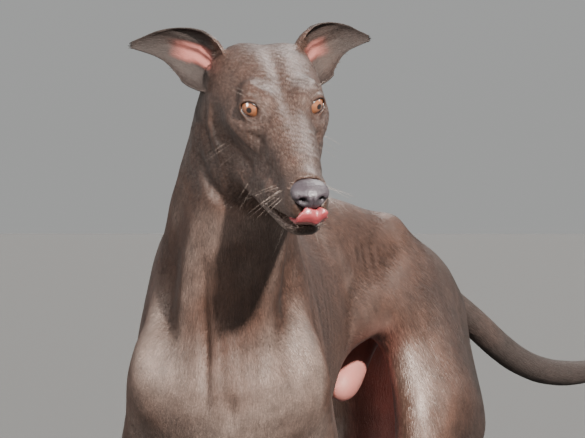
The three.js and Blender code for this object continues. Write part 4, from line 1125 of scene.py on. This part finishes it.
def makeBakeMap():  # a light copy of the skin, unwrapped once for every tuft
    proxy = newPiece("unwrapped", skin.data.copy())
    modifier = proxy.modifiers.new("thin", "DECIMATE")
    modifier.ratio = tuftPlan["bakeShare"]
    applyAll(proxy)
    selectOnly(proxy)
    bpy.ops.object.mode_set(mode="EDIT")
    bpy.ops.mesh.select_all(action="SELECT")
    bpy.ops.uv.smart_project(angle_limit=math.radians(70), island_margin=0.004)
    bpy.ops.object.mode_set(mode="OBJECT")
    points = places(proxy.data)
    faces, charts = [], []
    held = np.empty(len(proxy.data.loops) * 2, np.float32)
    proxy.data.uv_layers[0].data.foreach_get("uv", held)
    held = held.reshape(-1, 2)
    for face in proxy.data.polygons:
        loops = list(face.loop_indices)
        for i in range(1, len(loops) - 1):
            corner = (loops[0], loops[i], loops[i + 1])
            faces.append([proxy.data.loops[k].vertex_index for k in corner])
            charts.append([held[k] for k in corner])
    tree = BVHTree.FromPolygons([Vector(p) for p in points], faces)
    bpy.data.objects.remove(proxy)
    return points, np.array(faces), np.array(charts, float), tree


def bakePlaces(point, bakeMap):
    points, faces, charts, tree = bakeMap
    found = np.array([tree.find_nearest(Vector(p))[2] for p in point.tolist()])
    a, b, c = (points[faces[found, k]] for k in range(3))
    ab, ac, ap = b - a, c - a, point - a
    d00, d01, d11 = (ab * ab).sum(1), (ab * ac).sum(1), (ac * ac).sum(1)
    d20, d21 = (ap * ab).sum(1), (ap * ac).sum(1)
    below = np.maximum(d00 * d11 - d01 * d01, 1e-18)
    v = np.clip((d11 * d20 - d01 * d21) / below, 0, 1)
    w = np.clip((d00 * d21 - d01 * d20) / below, 0, 1)
    over = np.maximum(v + w, 1)
    v, w = v / over, w / over
    uv = charts[found]
    return uv[:, 0] * (1 - v - w)[:, None] + uv[:, 1] * v[:, None] + uv[:, 2] * w[:, None]


def nearestOn(tree, points):
    found = [tree.find_nearest(Vector(p))[:2] for p in points.tolist()]
    return np.array([spot for spot, up in found]).reshape(-1,
        3), np.array([up for spot, up in found]).reshape(-1, 3)


def tuftPoints(root, normal, way, long, wide, ridge, tip, tree):  # left, right, ridge and tip of each
    aim = root + way * long[:, None] / 1000
    spots, ups = nearestOn(tree, aim)
    off = spots - aim
    keep = np.linalg.norm(off, axis=1) * 1000 < tuftPlan["loose"] * long
    off = np.where(keep[:, None], off, 0)
    ups = np.where(((ups * normal).sum(1) > 0.2)[:, None], ups, normal)
    end = aim + off + ups * tip[:, None] / 1000
    # the ridge stays above the line from root to tip, in hollows too
    at = tuftPlan["ridgeAt"]
    follow = np.where((off * normal).sum(1) > 0, 0.36, 0.12)[:, None]
    middle = root + way * (at * long)[:, None] / 1000 + off * follow + normal * (ridge + at * tip)[:,
        None] / 1000
    half = np.cross(normal, way) * (wide / 2000)[:, None]
    left = root + half - normal * tuftPlan["sink"] / 1000
    right = root - half - normal * tuftPlan["sink"] / 1000
    return np.stack([left, right, middle, end], axis=1)


def tuftShading(normal, way):  # round across the width, as the skin under it along the ridge
    across = np.cross(normal, way)
    lean = np.radians(tuftPlan["lean"]) * rng.uniform(-1, 1, (len(normal), 2))
    turned = normal + across * lean[:, :1] + way * (lean[:, 1:] * 0.5)
    aside = across * tuftPlan["round"]
    return unit(np.stack([turned + aside, turned - aside, turned, turned + way * 0.2], axis=1).reshape(-1, 3))


def buildTufts(name, tufts, marks, tree, bakeMap, material):
    points = tuftPoints(*tufts, tree)
    root, normal, way = tufts[:3]
    count = len(root)
    left, right, middle, end = (points[:, k] for k in range(4))
    turnedOver = (np.cross(left - middle, end - middle) * (right - middle)).sum(1) <= 0
    base = np.arange(count)[:, None, None] * 4
    # the sides look up and out, the underside down
    faces = (base + np.array([[0, 1, 2], [3, 0, 2], [2, 1, 3], [1, 0, 3]])[None]).reshape(-1, 3)
    mesh = bigMesh(name, points.reshape(-1, 3), faces)
    for key, values in marks.items():
        setAttribute(mesh, key, np.repeat(values, 4))
    setAttribute(mesh, "own", np.repeat(rng.random(count), 4))
    setAttribute(mesh, "along", np.tile([0.0, 0.0, 0.4, 1.0], count))
    spot = bakePlaces(root, bakeMap)
    size = tuftPlan["patch"] / 2
    corners = spot[:, None, :] + np.array([[-size, -size], [size, -size], [0, 0], [0, size]])[None]
    corners = np.clip(corners.reshape(-1, 2), 0, 1)
    layer = mesh.uv_layers.new(name="OFBake")
    layer.data.foreach_set("uv", corners[faces.ravel()].astype(np.float32).ravel())
    mesh.shade_smooth()
    mesh.normals_split_custom_set_from_vertices(tuftShading(normal, way).tolist())
    piece = newPiece(name, mesh)
    mesh.materials.append(material)
    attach(piece, "root")
    print(name, count, "tufts,", int(turnedOver.sum()), "turned over")


def bareSkin(middle, up, h, m, tree):  # eyes and lids' rims, under the nose leather, inside the mouth, soles
    bare = middle[:, 2] * 1000 <= barePlan["ground"]
    for sign in (1, -1):
        eye, gaze, across, upward = eyeFrame(sign)
        away = h - eye
        far = np.linalg.norm(away, axis=1)
        angle = np.degrees(np.arccos(np.clip((unit(away) * gaze).sum(1), -1, 1)))
        bare |= (far < barePlan["lid"][0]) & (angle < barePlan["lid"][1]) | (far <= barePlan["ball"])
    place, widths, edge = barePlan["nose"]
    bare |= np.linalg.norm((h - place) / widths, axis=1) <= edge
    front, low, high = barePlan["mouth"]
    mouth = (h[:, 0] > front) & (h[:, 2] > low) & (h[:, 2] < high) & (m["head"] > 0)
    for i in np.nonzero(mouth)[0]:
        start = Vector(middle[i] + up[i] * 0.0005)
        bare[i] |= tree.ray_cast(start, Vector(up[i]), barePlan["tight"] / 1000)[0] is not None
    return bare


def scatterRoots(point, normal, faces, dense):  # even steps through the faces' areas, each step one root
    corner = point[faces]
    area = np.linalg.norm(np.cross(corner[:, 1] - corner[:, 0], corner[:, 2] - corner[:, 0]),
        axis=1) / 2 * 1e6
    total = np.cumsum(area * dense)
    steps = np.arange(0, total[-1], 1.0) + rng.random(int(math.ceil(total[-1]))) * 0.98
    face = np.clip(np.searchsorted(total, steps), 0, len(faces) - 1)
    u, v = rng.random(len(face)), rng.random(len(face))
    flip = u + v > 1
    u, v = np.where(flip, 1 - u, u), np.where(flip, 1 - v, v)

    def blend(corners):
        return corners[:, 0] * (1 - u - v)[:, None] + corners[:, 1] * u[:, None] + corners[:, 2] * v[:, None]

    return face, blend(corner[face]), unit(blend(normal[faces[face]]))


def coatParts(s, h, m, onHead, onNeck):  # which tufts go to which piece
    left = s[:, 1] > 0
    onEar = m["ear"] > 0.5
    onHead = onHead & ~onEar
    onTail = m["tail"] > 0.5
    low = s[:, 2] < 440
    fore = low & (s[:, 0] > -200)
    hind = (low | (s[:, 0] < -380)) & ~fore & ~onTail
    onNeck = onNeck & ~onHead & ~onEar & ~fore
    rest = ~(onEar | onHead | onTail | fore | hind | onNeck)
    body = ~onEar & ~onHead
    return {
        "coatEars": onEar, "coatHeadLeft": onHead & (h[:, 1] > 0), "coatHeadRight": onHead & (h[:, 1] <= 0),
        "coatNeck": onNeck, "coatTrunkLeft": rest & left, "coatTrunkRight": rest & ~left,
        "coatForelegLeft": fore & left & body, "coatForelegRight": fore & ~left & body,
        "coatHindLeft": hind & left & body, "coatHindRight": hind & ~left & body, "coatTail": onTail & body,
    }


def growCoat():
    mesh = skin.data
    point, normal = places(mesh), normalsOf(mesh)
    faces = trianglesOf(mesh)
    tree = BVHTree.FromPolygons([Vector(p) for p in point], faces.tolist())
    bakeMap = makeBakeMap()
    print("bake map", len(bakeMap[1]), "faces")
    middle, up = point[faces].mean(1), unit(normal[faces].mean(1))
    s, h, m, marks = marksOf(middle, up)
    share = {
        "neck": smoothStep(40, 120, s[:, 0]) * smoothStep(430, 480, s[:, 2]),
        "leg": m["leg"], "foot": m["foot"] * m["leg"], "tail": m["tail"],
        "head": smoothStep(-150, -100, h[:, 0]) * m["head"], "ear": m["ear"],
    }
    region = tuftPlan["regions"]
    sizes = [np.full(len(middle), value) for value in region["trunk"]]
    for key, part in share.items():
        sizes = [value + part * (region[key][k] - value) for k, value in enumerate(sizes)]
    long, wide, cover, steep = sizes
    dense = cover / (0.5 * long * wide)
    dense = dense * (1 - 0.72 * marks["bare"]) * (1 - 0.45 * marks["blush"] * (1 - m["ear"]))
    dense = dense * ~bareSkin(middle, up, h, m, tree)
    face, root, ups = scatterRoots(point, normal, faces, dense)
    s, h, m, marks = marksOf(root, ups)
    way = lieOf(root, ups, s, h, m)
    turn = np.radians(tuftPlan["turnBy"]) * rng.uniform(-1, 1, len(root))
    way = way * np.cos(turn)[:, None] + np.cross(ups, way) * np.sin(turn)[:, None]
    tuftLong = long[face] * rng.uniform(0.75, 1.25, len(root))
    tuftWide = wide[face] * rng.uniform(0.8, 1.2, len(root))
    small = np.clip(share["head"] + share["ear"] + share["foot"], 0, 1)[face]
    ridge = steep[face] * tuftWide * rng.uniform(0.6, 1.2, len(root))
    tip = tuftPlan["tip"][1] + (tuftPlan["tip"][0] - tuftPlan["tip"][1]) * small
    tip = tip * rng.uniform(0.5, 1.6, len(root))
    tufts = (root, ups, way, tuftLong, tuftWide, ridge, tip)
    material = coatMaterial("shortCoat")
    parts = coatParts(s, h, m, share["head"][face] > 0.5, share["neck"][face] > 0.5)
    for name, chosen in parts.items():
        i = np.nonzero(chosen)[0]
        buildTufts(name, [values[i] for values in tufts], {k: v[i] for k, v in marks.items()}, tree,
            bakeMap, material)


growCoat()
print("coat grown")


# The eyes: one ball each, with the cornea's dome, and the iris painted by its distance from the pole.
eyePlan = {
    "radius": 11.85,
    "dome": 0.9,
    "domeAngle": 36.0,
    "pupil": 0.185,
    "iris": 0.88,  # of the ball's radius
    "amber": (0.135, 0.045, 0.019),
    "gold": (0.205, 0.085, 0.040),
    "rim": (0.022, 0.006, 0.003),
    "white": (0.026, 0.015, 0.012),
    "black": (0.006, 0.004, 0.004),
}


def eyeMaterial():
    material, tree, shader = plainMaterial("eyeSurface")
    aim = addNode(tree, "ShaderNodeAttribute", attribute_name="aim")
    parts = addNode(tree, "ShaderNodeSeparateXYZ")
    tree.links.new(aim.outputs["Vector"], parts.inputs[0])
    flat = addNode(tree, "ShaderNodeCombineXYZ")
    tree.links.new(parts.outputs["X"], flat.inputs["X"])
    tree.links.new(parts.outputs["Y"], flat.inputs["Y"])
    length = addNode(tree, "ShaderNodeVectorMath", operation="LENGTH")
    tree.links.new(flat.outputs[0], length.inputs[0])
    way = addNode(tree, "ShaderNodeVectorMath", operation="NORMALIZE")
    tree.links.new(flat.outputs[0], way.inputs[0])
    wide = addNode(tree, "ShaderNodeVectorMath", operation="SCALE")
    tree.links.new(way.outputs[0], wide.inputs[0])
    wide.inputs["Scale"].default_value = 7.0
    streaks = noise(tree, wide.outputs[0], 1.6, 3.0, 0.6)
    cloud = noise(tree, aim.outputs["Vector"], 5.0, 2.0)
    iris = mixed(tree, streaks, eyePlan["amber"], eyePlan["gold"])
    iris = mixed(tree, maths(tree, "MULTIPLY", cloud, 0.5), iris, eyePlan["rim"])
    away = length.outputs["Value"]
    ring = between(tree, away, eyePlan["iris"] - 0.16, 0.16)
    edge = between(tree, away, eyePlan["iris"], 0.06)
    black = between(tree, away, eyePlan["pupil"], 0.06)
    colour = mixed(tree, ring, iris, eyePlan["rim"])
    colour = mixed(tree, edge, colour, eyePlan["white"])
    colour = mixed(tree, black, eyePlan["black"], colour)
    tree.links.new(colour, shader.inputs["Base Color"])
    setInputs(shader, {"Roughness": 0.12, "Specular IOR Level": 0.5, "Coat Weight": 1.0,
        "Coat Roughness": 0.03})
    return material


def makeEye(sign, name, node, material):
    eye, gaze, across, upward = eyeFrame(sign)
    bpy.ops.mesh.primitive_uv_sphere_add(segments=72, ring_count=60, radius=1.0, location=(0, 0, 0))
    piece = bpy.context.object
    piece.name = name
    local = unit(places(piece.data))
    angle = np.degrees(np.arccos(np.clip(local[:, 2], -1, 1)))
    radius = eyePlan["radius"] + eyePlan["dome"] * smoothStep(eyePlan["domeAngle"], 0, angle) ** 0.8
    spots = (local[:, :1] * across + local[:, 1:2] * upward + local[:, 2:] * gaze) * radius[:, None]
    setPlaces(piece.data, headToRow(eye + spots))
    setAttribute(piece.data, "aim", local)
    piece.data.shade_smooth()
    piece.data.materials.append(material)
    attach(piece, "root")
    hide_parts(node)
    return piece


def tubeOf(points, radii, sides, closed):  # a tube through the points, its ends closed to a point
    points = np.asarray(points, float)
    count = len(points)
    before, after = np.roll(points, 1, 0), np.roll(points, -1, 0)
    if not closed:
        before[0], after[-1] = points[0], points[-1]
    way = unit(after - before)
    side = unit(np.cross(way, [0.31, 0.17, 0.93]))
    other = np.cross(way, side)
    turns = np.arange(sides) / sides * 2 * math.pi
    rings = points[:, None] + np.asarray(radii)[:, None, None] * (
        np.cos(turns)[None, :, None] * side[:, None] + np.sin(turns)[None, :, None] * other[:, None])
    spots = rings.reshape(-1, 3).tolist()
    faces = []
    for i in range(count if closed else count - 1):
        a, b = i * sides, ((i + 1) % count) * sides
        for k in range(sides):
            n = (k + 1) % sides
            faces.append((a + k, a + n, b + n, b + k))
    if not closed:
        spots += [points[0].tolist(), points[-1].tolist()]
        last = (count - 1) * sides
        for k in range(sides):
            n = (k + 1) % sides
            faces.append((n, k, len(spots) - 2))
            faces.append((last + k, last + n, len(spots) - 1))
    return spots, faces


def joinTubes(name, tubes):
    part = bmesh.new()
    for spots, faces in tubes:
        made = [part.verts.new(p) for p in spots]
        for face in faces:
            part.faces.new([made[k] for k in face])
    bmesh.ops.recalc_face_normals(part, faces=part.faces)
    mesh = bpy.data.meshes.new(name)
    part.to_mesh(mesh)
    part.free()
    mesh.shade_smooth()
    return newPiece(name, mesh)


lidRimPlan = {
    "radius": 0.62, "away": 12.5, "wider": 0.2, "steps": 56, "dark": (0.006, 0.004, 0.004),
    "light": (0.022, 0.014, 0.013),
}


def makeLidRims():
    tubes = []
    for sign in (1, -1):
        eye, gaze, across, upward = eyeFrame(sign)
        spots = []
        for j in range(lidRimPlan["steps"]):
            turn = j / lidRimPlan["steps"] * 2 * math.pi
            angle = math.radians(openingAt(turn, sign) + lidRimPlan["wider"])
            way = gaze * math.cos(angle) + (across * math.cos(turn) + upward * math.sin(turn)) * math.sin(angle)
            spots.append(eye + way * lidRimPlan["away"])
        spots = headToRow(spots)
        tubes.append(tubeOf(spots, np.full(len(spots), lidRimPlan["radius"] / 1000), 8, True))
    piece = joinTubes("lidRims", tubes)
    material, tree, shader = plainMaterial("wetLid")
    spot = noise(tree, objectPlace(tree), 900.0, 2.0)
    tree.links.new(mixed(tree, spot, lidRimPlan["dark"], lidRimPlan["light"]), shader.inputs["Base Color"])
    tree.links.new(maths(tree, "MULTIPLY_ADD", spot, 0.2, 0.16), shader.inputs["Roughness"])
    piece.data.materials.append(material)
    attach(piece, "root")
    return piece


eyeLook = eyeMaterial()
makeEye(1, "eyeLeft", "eye_left", eyeLook)
makeEye(-1, "eyeRight", "eye_right", eyeLook)
makeLidRims()
print("eyes")


# Nose leather and tongue.
nosePlan = {
    "voxel": 0.00055, "faces": 26000, "above": -17.0, "lower": 0.93, "nostril": (151.0, 8.0, -17.5),
    # inside: the colour of the nostrils' painted shade
    "dark": (0.018, 0.0135, 0.0165), "light": (0.050, 0.037, 0.043), "inside": (0.004, 0.003, 0.003),
}


def makeNose():
    piece = nodeCopy(["nose"], "noseLeather", {"all": 0.0})
    remesh(piece, nosePlan["voxel"])
    smoothBy(piece, np.ones(len(piece.data.vertices)), 5)
    h = straightToHead(fromRow(places(piece.data)))
    high = h[:, 2] > nosePlan["above"]
    h[:, 2] = np.where(high, nosePlan["above"] + (h[:, 2] - nosePlan["above"]) * nosePlan["lower"], h[:, 2])
    front = smoothStep(142, 149, h[:, 0])
    groove = np.exp(-(h[:, 1] / 1.1) ** 2) * smoothStep(-12, -17, h[:, 2]) * front
    h[:, 0] -= 1.5 * groove
    setPlaces(piece.data, headToRow(h))
    thin(piece, nosePlan["faces"])
    smoothBy(piece, np.ones(len(piece.data.vertices)), 2)
    piece.data.shade_smooth()
    h = straightToHead(fromRow(places(piece.data)))
    # painted shade: the nose leather darkened round and inside the nostrils, where shade falls
    ahead, aside, height = nosePlan["nostril"]
    away = np.minimum(np.linalg.norm(np.abs(h[:, :2]) - [ahead, aside], axis=1), 9)
    nostrilShade = np.exp(-(away / 4.6) ** 2) * np.exp(-((h[:, 2] - height) / 3.4) ** 2)
    setAttribute(piece.data, "nostrilShade", nostrilShade)
    material, tree, shader = plainMaterial("noseSkin")
    place = objectPlace(tree)
    pebbles = dots(tree, place, 820.0)
    cloud = noise(tree, place, 160.0, 3.0)
    colour = mixed(tree, cloud, nosePlan["dark"], nosePlan["light"])
    colour = mixed(tree, maths(tree, "MULTIPLY", pebbles, 0.7), colour, nosePlan["dark"])
    # the nostrils' painted shade
    hollow = addNode(tree, "ShaderNodeAttribute", attribute_name="nostrilShade")
    colour = mixed(tree, hollow.outputs["Fac"], colour, nosePlan["inside"])
    tree.links.new(colour, shader.inputs["Base Color"])
    tree.links.new(maths(tree, "MULTIPLY_ADD", cloud, 0.2, 0.38), shader.inputs["Roughness"])
    addBump(tree, shader, pebbles, 0.75, 0.00035, invert=True)
    setInputs(shader, {"Coat Weight": 0.08, "Coat Roughness": 0.2})
    piece.data.materials.append(material)
    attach(piece, "root")
    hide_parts("nose")


tonguePlan = {"voxel": 0.00065, "red": (0.125, 0.012, 0.015), "pink": (0.215, 0.042, 0.045)}


def makeTongue():
    piece = nodeCopy(["tongue"], "tongue", {"all": 0.0004})
    remesh(piece, tonguePlan["voxel"])
    smoothBy(piece, np.ones(len(piece.data.vertices)), 10)
    h = straightToHead(fromRow(places(piece.data)))
    front = smoothStep(138, 146, h[:, 0])
    h[:, 2] += front * (2.6 * bell(h[:, 1:2], [12.5], [3.4]) - 1.8 * bell(h[:, 1:2], [4.2], [2.2])
                        + 1.6 * bell(h[:, 1:2], [-4.5], [3.6]) - 1.5 * smoothStep(-10, -18, h[:, 1]))
    h[:, 0] -= front * 1.0 * bell(h[:, 1:2], [4.0], [2.4])
    h[:, 2] -= 0.9 * smoothStep(130, 110, h[:, 0]) * bell(h[:, 1:2], [0.0], [2.6])
    setPlaces(piece.data, headToRow(h))
    smoothBy(piece, np.ones(len(piece.data.vertices)), 3)
    piece.data.shade_smooth()
    material, tree, shader = plainMaterial("wetTongue")
    place = objectPlace(tree)
    buds = dots(tree, place, 1100.0)
    cloud = noise(tree, place, 230.0, 3.0)
    colour = mixed(tree, cloud, tonguePlan["red"], tonguePlan["pink"])
    colour = mixed(tree, maths(tree, "MULTIPLY", buds, 0.5), colour, tonguePlan["red"])
    tree.links.new(colour, shader.inputs["Base Color"])
    tree.links.new(maths(tree, "MULTIPLY_ADD", cloud, 0.25, 0.26), shader.inputs["Roughness"])
    addBump(tree, shader, buds, 0.6, 0.0003, invert=True)
    setInputs(shader, {"Coat Weight": 0.25, "Coat Roughness": 0.18, "Subsurface Weight": 0.12,
                       "Subsurface Radius": (0.004, 0.0015, 0.001)})
    piece.data.materials.append(material)
    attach(piece, "root")
    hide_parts("tongue")


makeNose()
makeTongue()
print("nose and tongue")


# Claws: one modelled, then set at each toe's tip.
clawPlan = {
    "radius": 2.5, "long": 10.5, "drop": 6.5, "rings": 9, "sides": 10,
    "toes": ((-20.0, 40.0), (-7.5, 58.0), (7.5, 58.0), (20.0, 40.0)),
    "fore": ((12.0, 75.0), (12.0, -75.0), 1.0),
    "hind": ((-642.0, 80.0), (-782.0, -62.0), 0.96),
    "dark": (0.010, 0.008, 0.008), "light": (0.065, 0.045, 0.036),
}


def makeClaws():
    tubes = []
    for key in ("fore", "hind"):
        left, right, reach = clawPlan[key]
        for (hx, hy), sign in ((left, 1), (right, -1)):
            for side, ahead in clawPlan["toes"]:
                tip = hx + ahead * reach
                y = hy + sign * side * 1.1
                t = np.linspace(0, 1, clawPlan["rings"])
                x = tip + 3.5 + clawPlan["long"] * np.sin(t * 1.25)
                z = 13.0 - clawPlan["drop"] * 1.55 * (1 - np.cos(t * 1.25))
                spots = np.column_stack([x, np.full(len(t), y) + sign * side * 0.06 * t, z])
                radii = clawPlan["radius"] * (1 - t ** 1.6) ** 0.9 + 0.35
                tubes.append(tubeOf(toRow(spots), radii / 1000, clawPlan["sides"], False))
    piece = joinTubes("claws", tubes)
    material, tree, shader = plainMaterial("clawHorn")
    grain = noise(tree, objectPlace(tree), 420.0, 3.0)
    tree.links.new(mixed(tree, grain, clawPlan["dark"], clawPlan["light"]), shader.inputs["Base Color"])
    tree.links.new(maths(tree, "MULTIPLY_ADD", grain, 0.25, 0.26), shader.inputs["Roughness"])
    addBump(tree, shader, grain, 0.4, 0.0002)
    piece.data.materials.append(material)
    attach(piece, "root")
    return piece


makeClaws()


# Whiskers: root, way and length in the head's frame, on both sides.
whiskerPlan = {
    "radius": 0.11, "dark": (0.05, 0.035, 0.03), "light": (0.30, 0.24, 0.20),
    "rows": (  # root, way, length
        ((112, 19, -24), (0.55, 0.75, -0.1), 26), ((104, 20, -27), (0.35, 0.85, -0.2), 30),
        ((96, 20, -30), (0.1, 0.9, -0.3), 34), ((86, 21, -33), (-0.1, 0.9, -0.4), 34),
        ((114, 18, -31), (0.5, 0.7, -0.45), 24), ((105, 19, -35), (0.25, 0.75, -0.6), 28),
        ((95, 20, -38), (0.0, 0.8, -0.65), 32), ((84, 21, -42), (-0.2, 0.75, -0.65), 30),
        ((100, 12, -64), (0.3, 0.45, -0.85), 24), ((86, 12, -68), (0.05, 0.4, -0.9), 26),
        ((70, 12, -70), (-0.1, 0.4, -0.9), 24), ((60, 6, -72), (-0.1, 0.1, -1), 20),
        ((2, 36, 22), (0.3, 0.75, 0.6), 15), ((-6, 37, 24), (0.1, 0.8, 0.6), 17),
        ((-18, 44, -36), (0.2, 0.85, -0.5), 26), ((-24, 44, -40), (0.0, 0.9, -0.5), 30),
        ((-12, 43, -42), (0.1, 0.8, -0.6), 24),
        ((20, 30, -58), (0.3, 0.7, -0.7), 22), ((30, 28, -60), (0.3, 0.6, -0.75), 24),
    ),
}


def makeWhiskers(tree):
    tubes = []
    for sign in (1, -1):
        for root, way, length in whiskerPlan["rows"]:
            root = np.array(root, float) * [1, sign, 1] + rng.uniform(-1.2, 1.2, 3)
            way = unit(np.array(way, float) * [1, sign, 1] + rng.uniform(-0.12, 0.12, 3))
            spot = tree.find_nearest(Vector(headToRow([root])[0]))[0]
            start = straightToHead(fromRow([spot]))[0]
            t = np.linspace(0, 1, 9)
            sag = np.outer(t ** 2, [-0.25, 0, -0.22]) * length
            points = start - way * 0.6 + np.outer(t, way) * length * rng.uniform(0.8, 1.1) + sag
            radii = whiskerPlan["radius"] * (1 - 0.8 * t)
            tubes.append(tubeOf(headToRow(points), radii / 1000, 5, False))
    piece = joinTubes("whiskers", tubes)
    material, tree, shader = plainMaterial("whiskerHair")
    shade = noise(tree, objectPlace(tree), 60.0, 1.0)
    tree.links.new(mixed(tree, shade, whiskerPlan["dark"], whiskerPlan["light"]), shader.inputs["Base Color"])
    shader.inputs["Roughness"].default_value = 0.4
    piece.data.materials.append(material)
    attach(piece, "root")
    return piece


skinTree = BVHTree.FromPolygons([Vector(p) for p in places(skin.data)], trianglesOf(skin.data).tolist())
makeWhiskers(skinTree)
print("claws and whiskers")
bpy.ops.object.select_all(action="DESELECT")
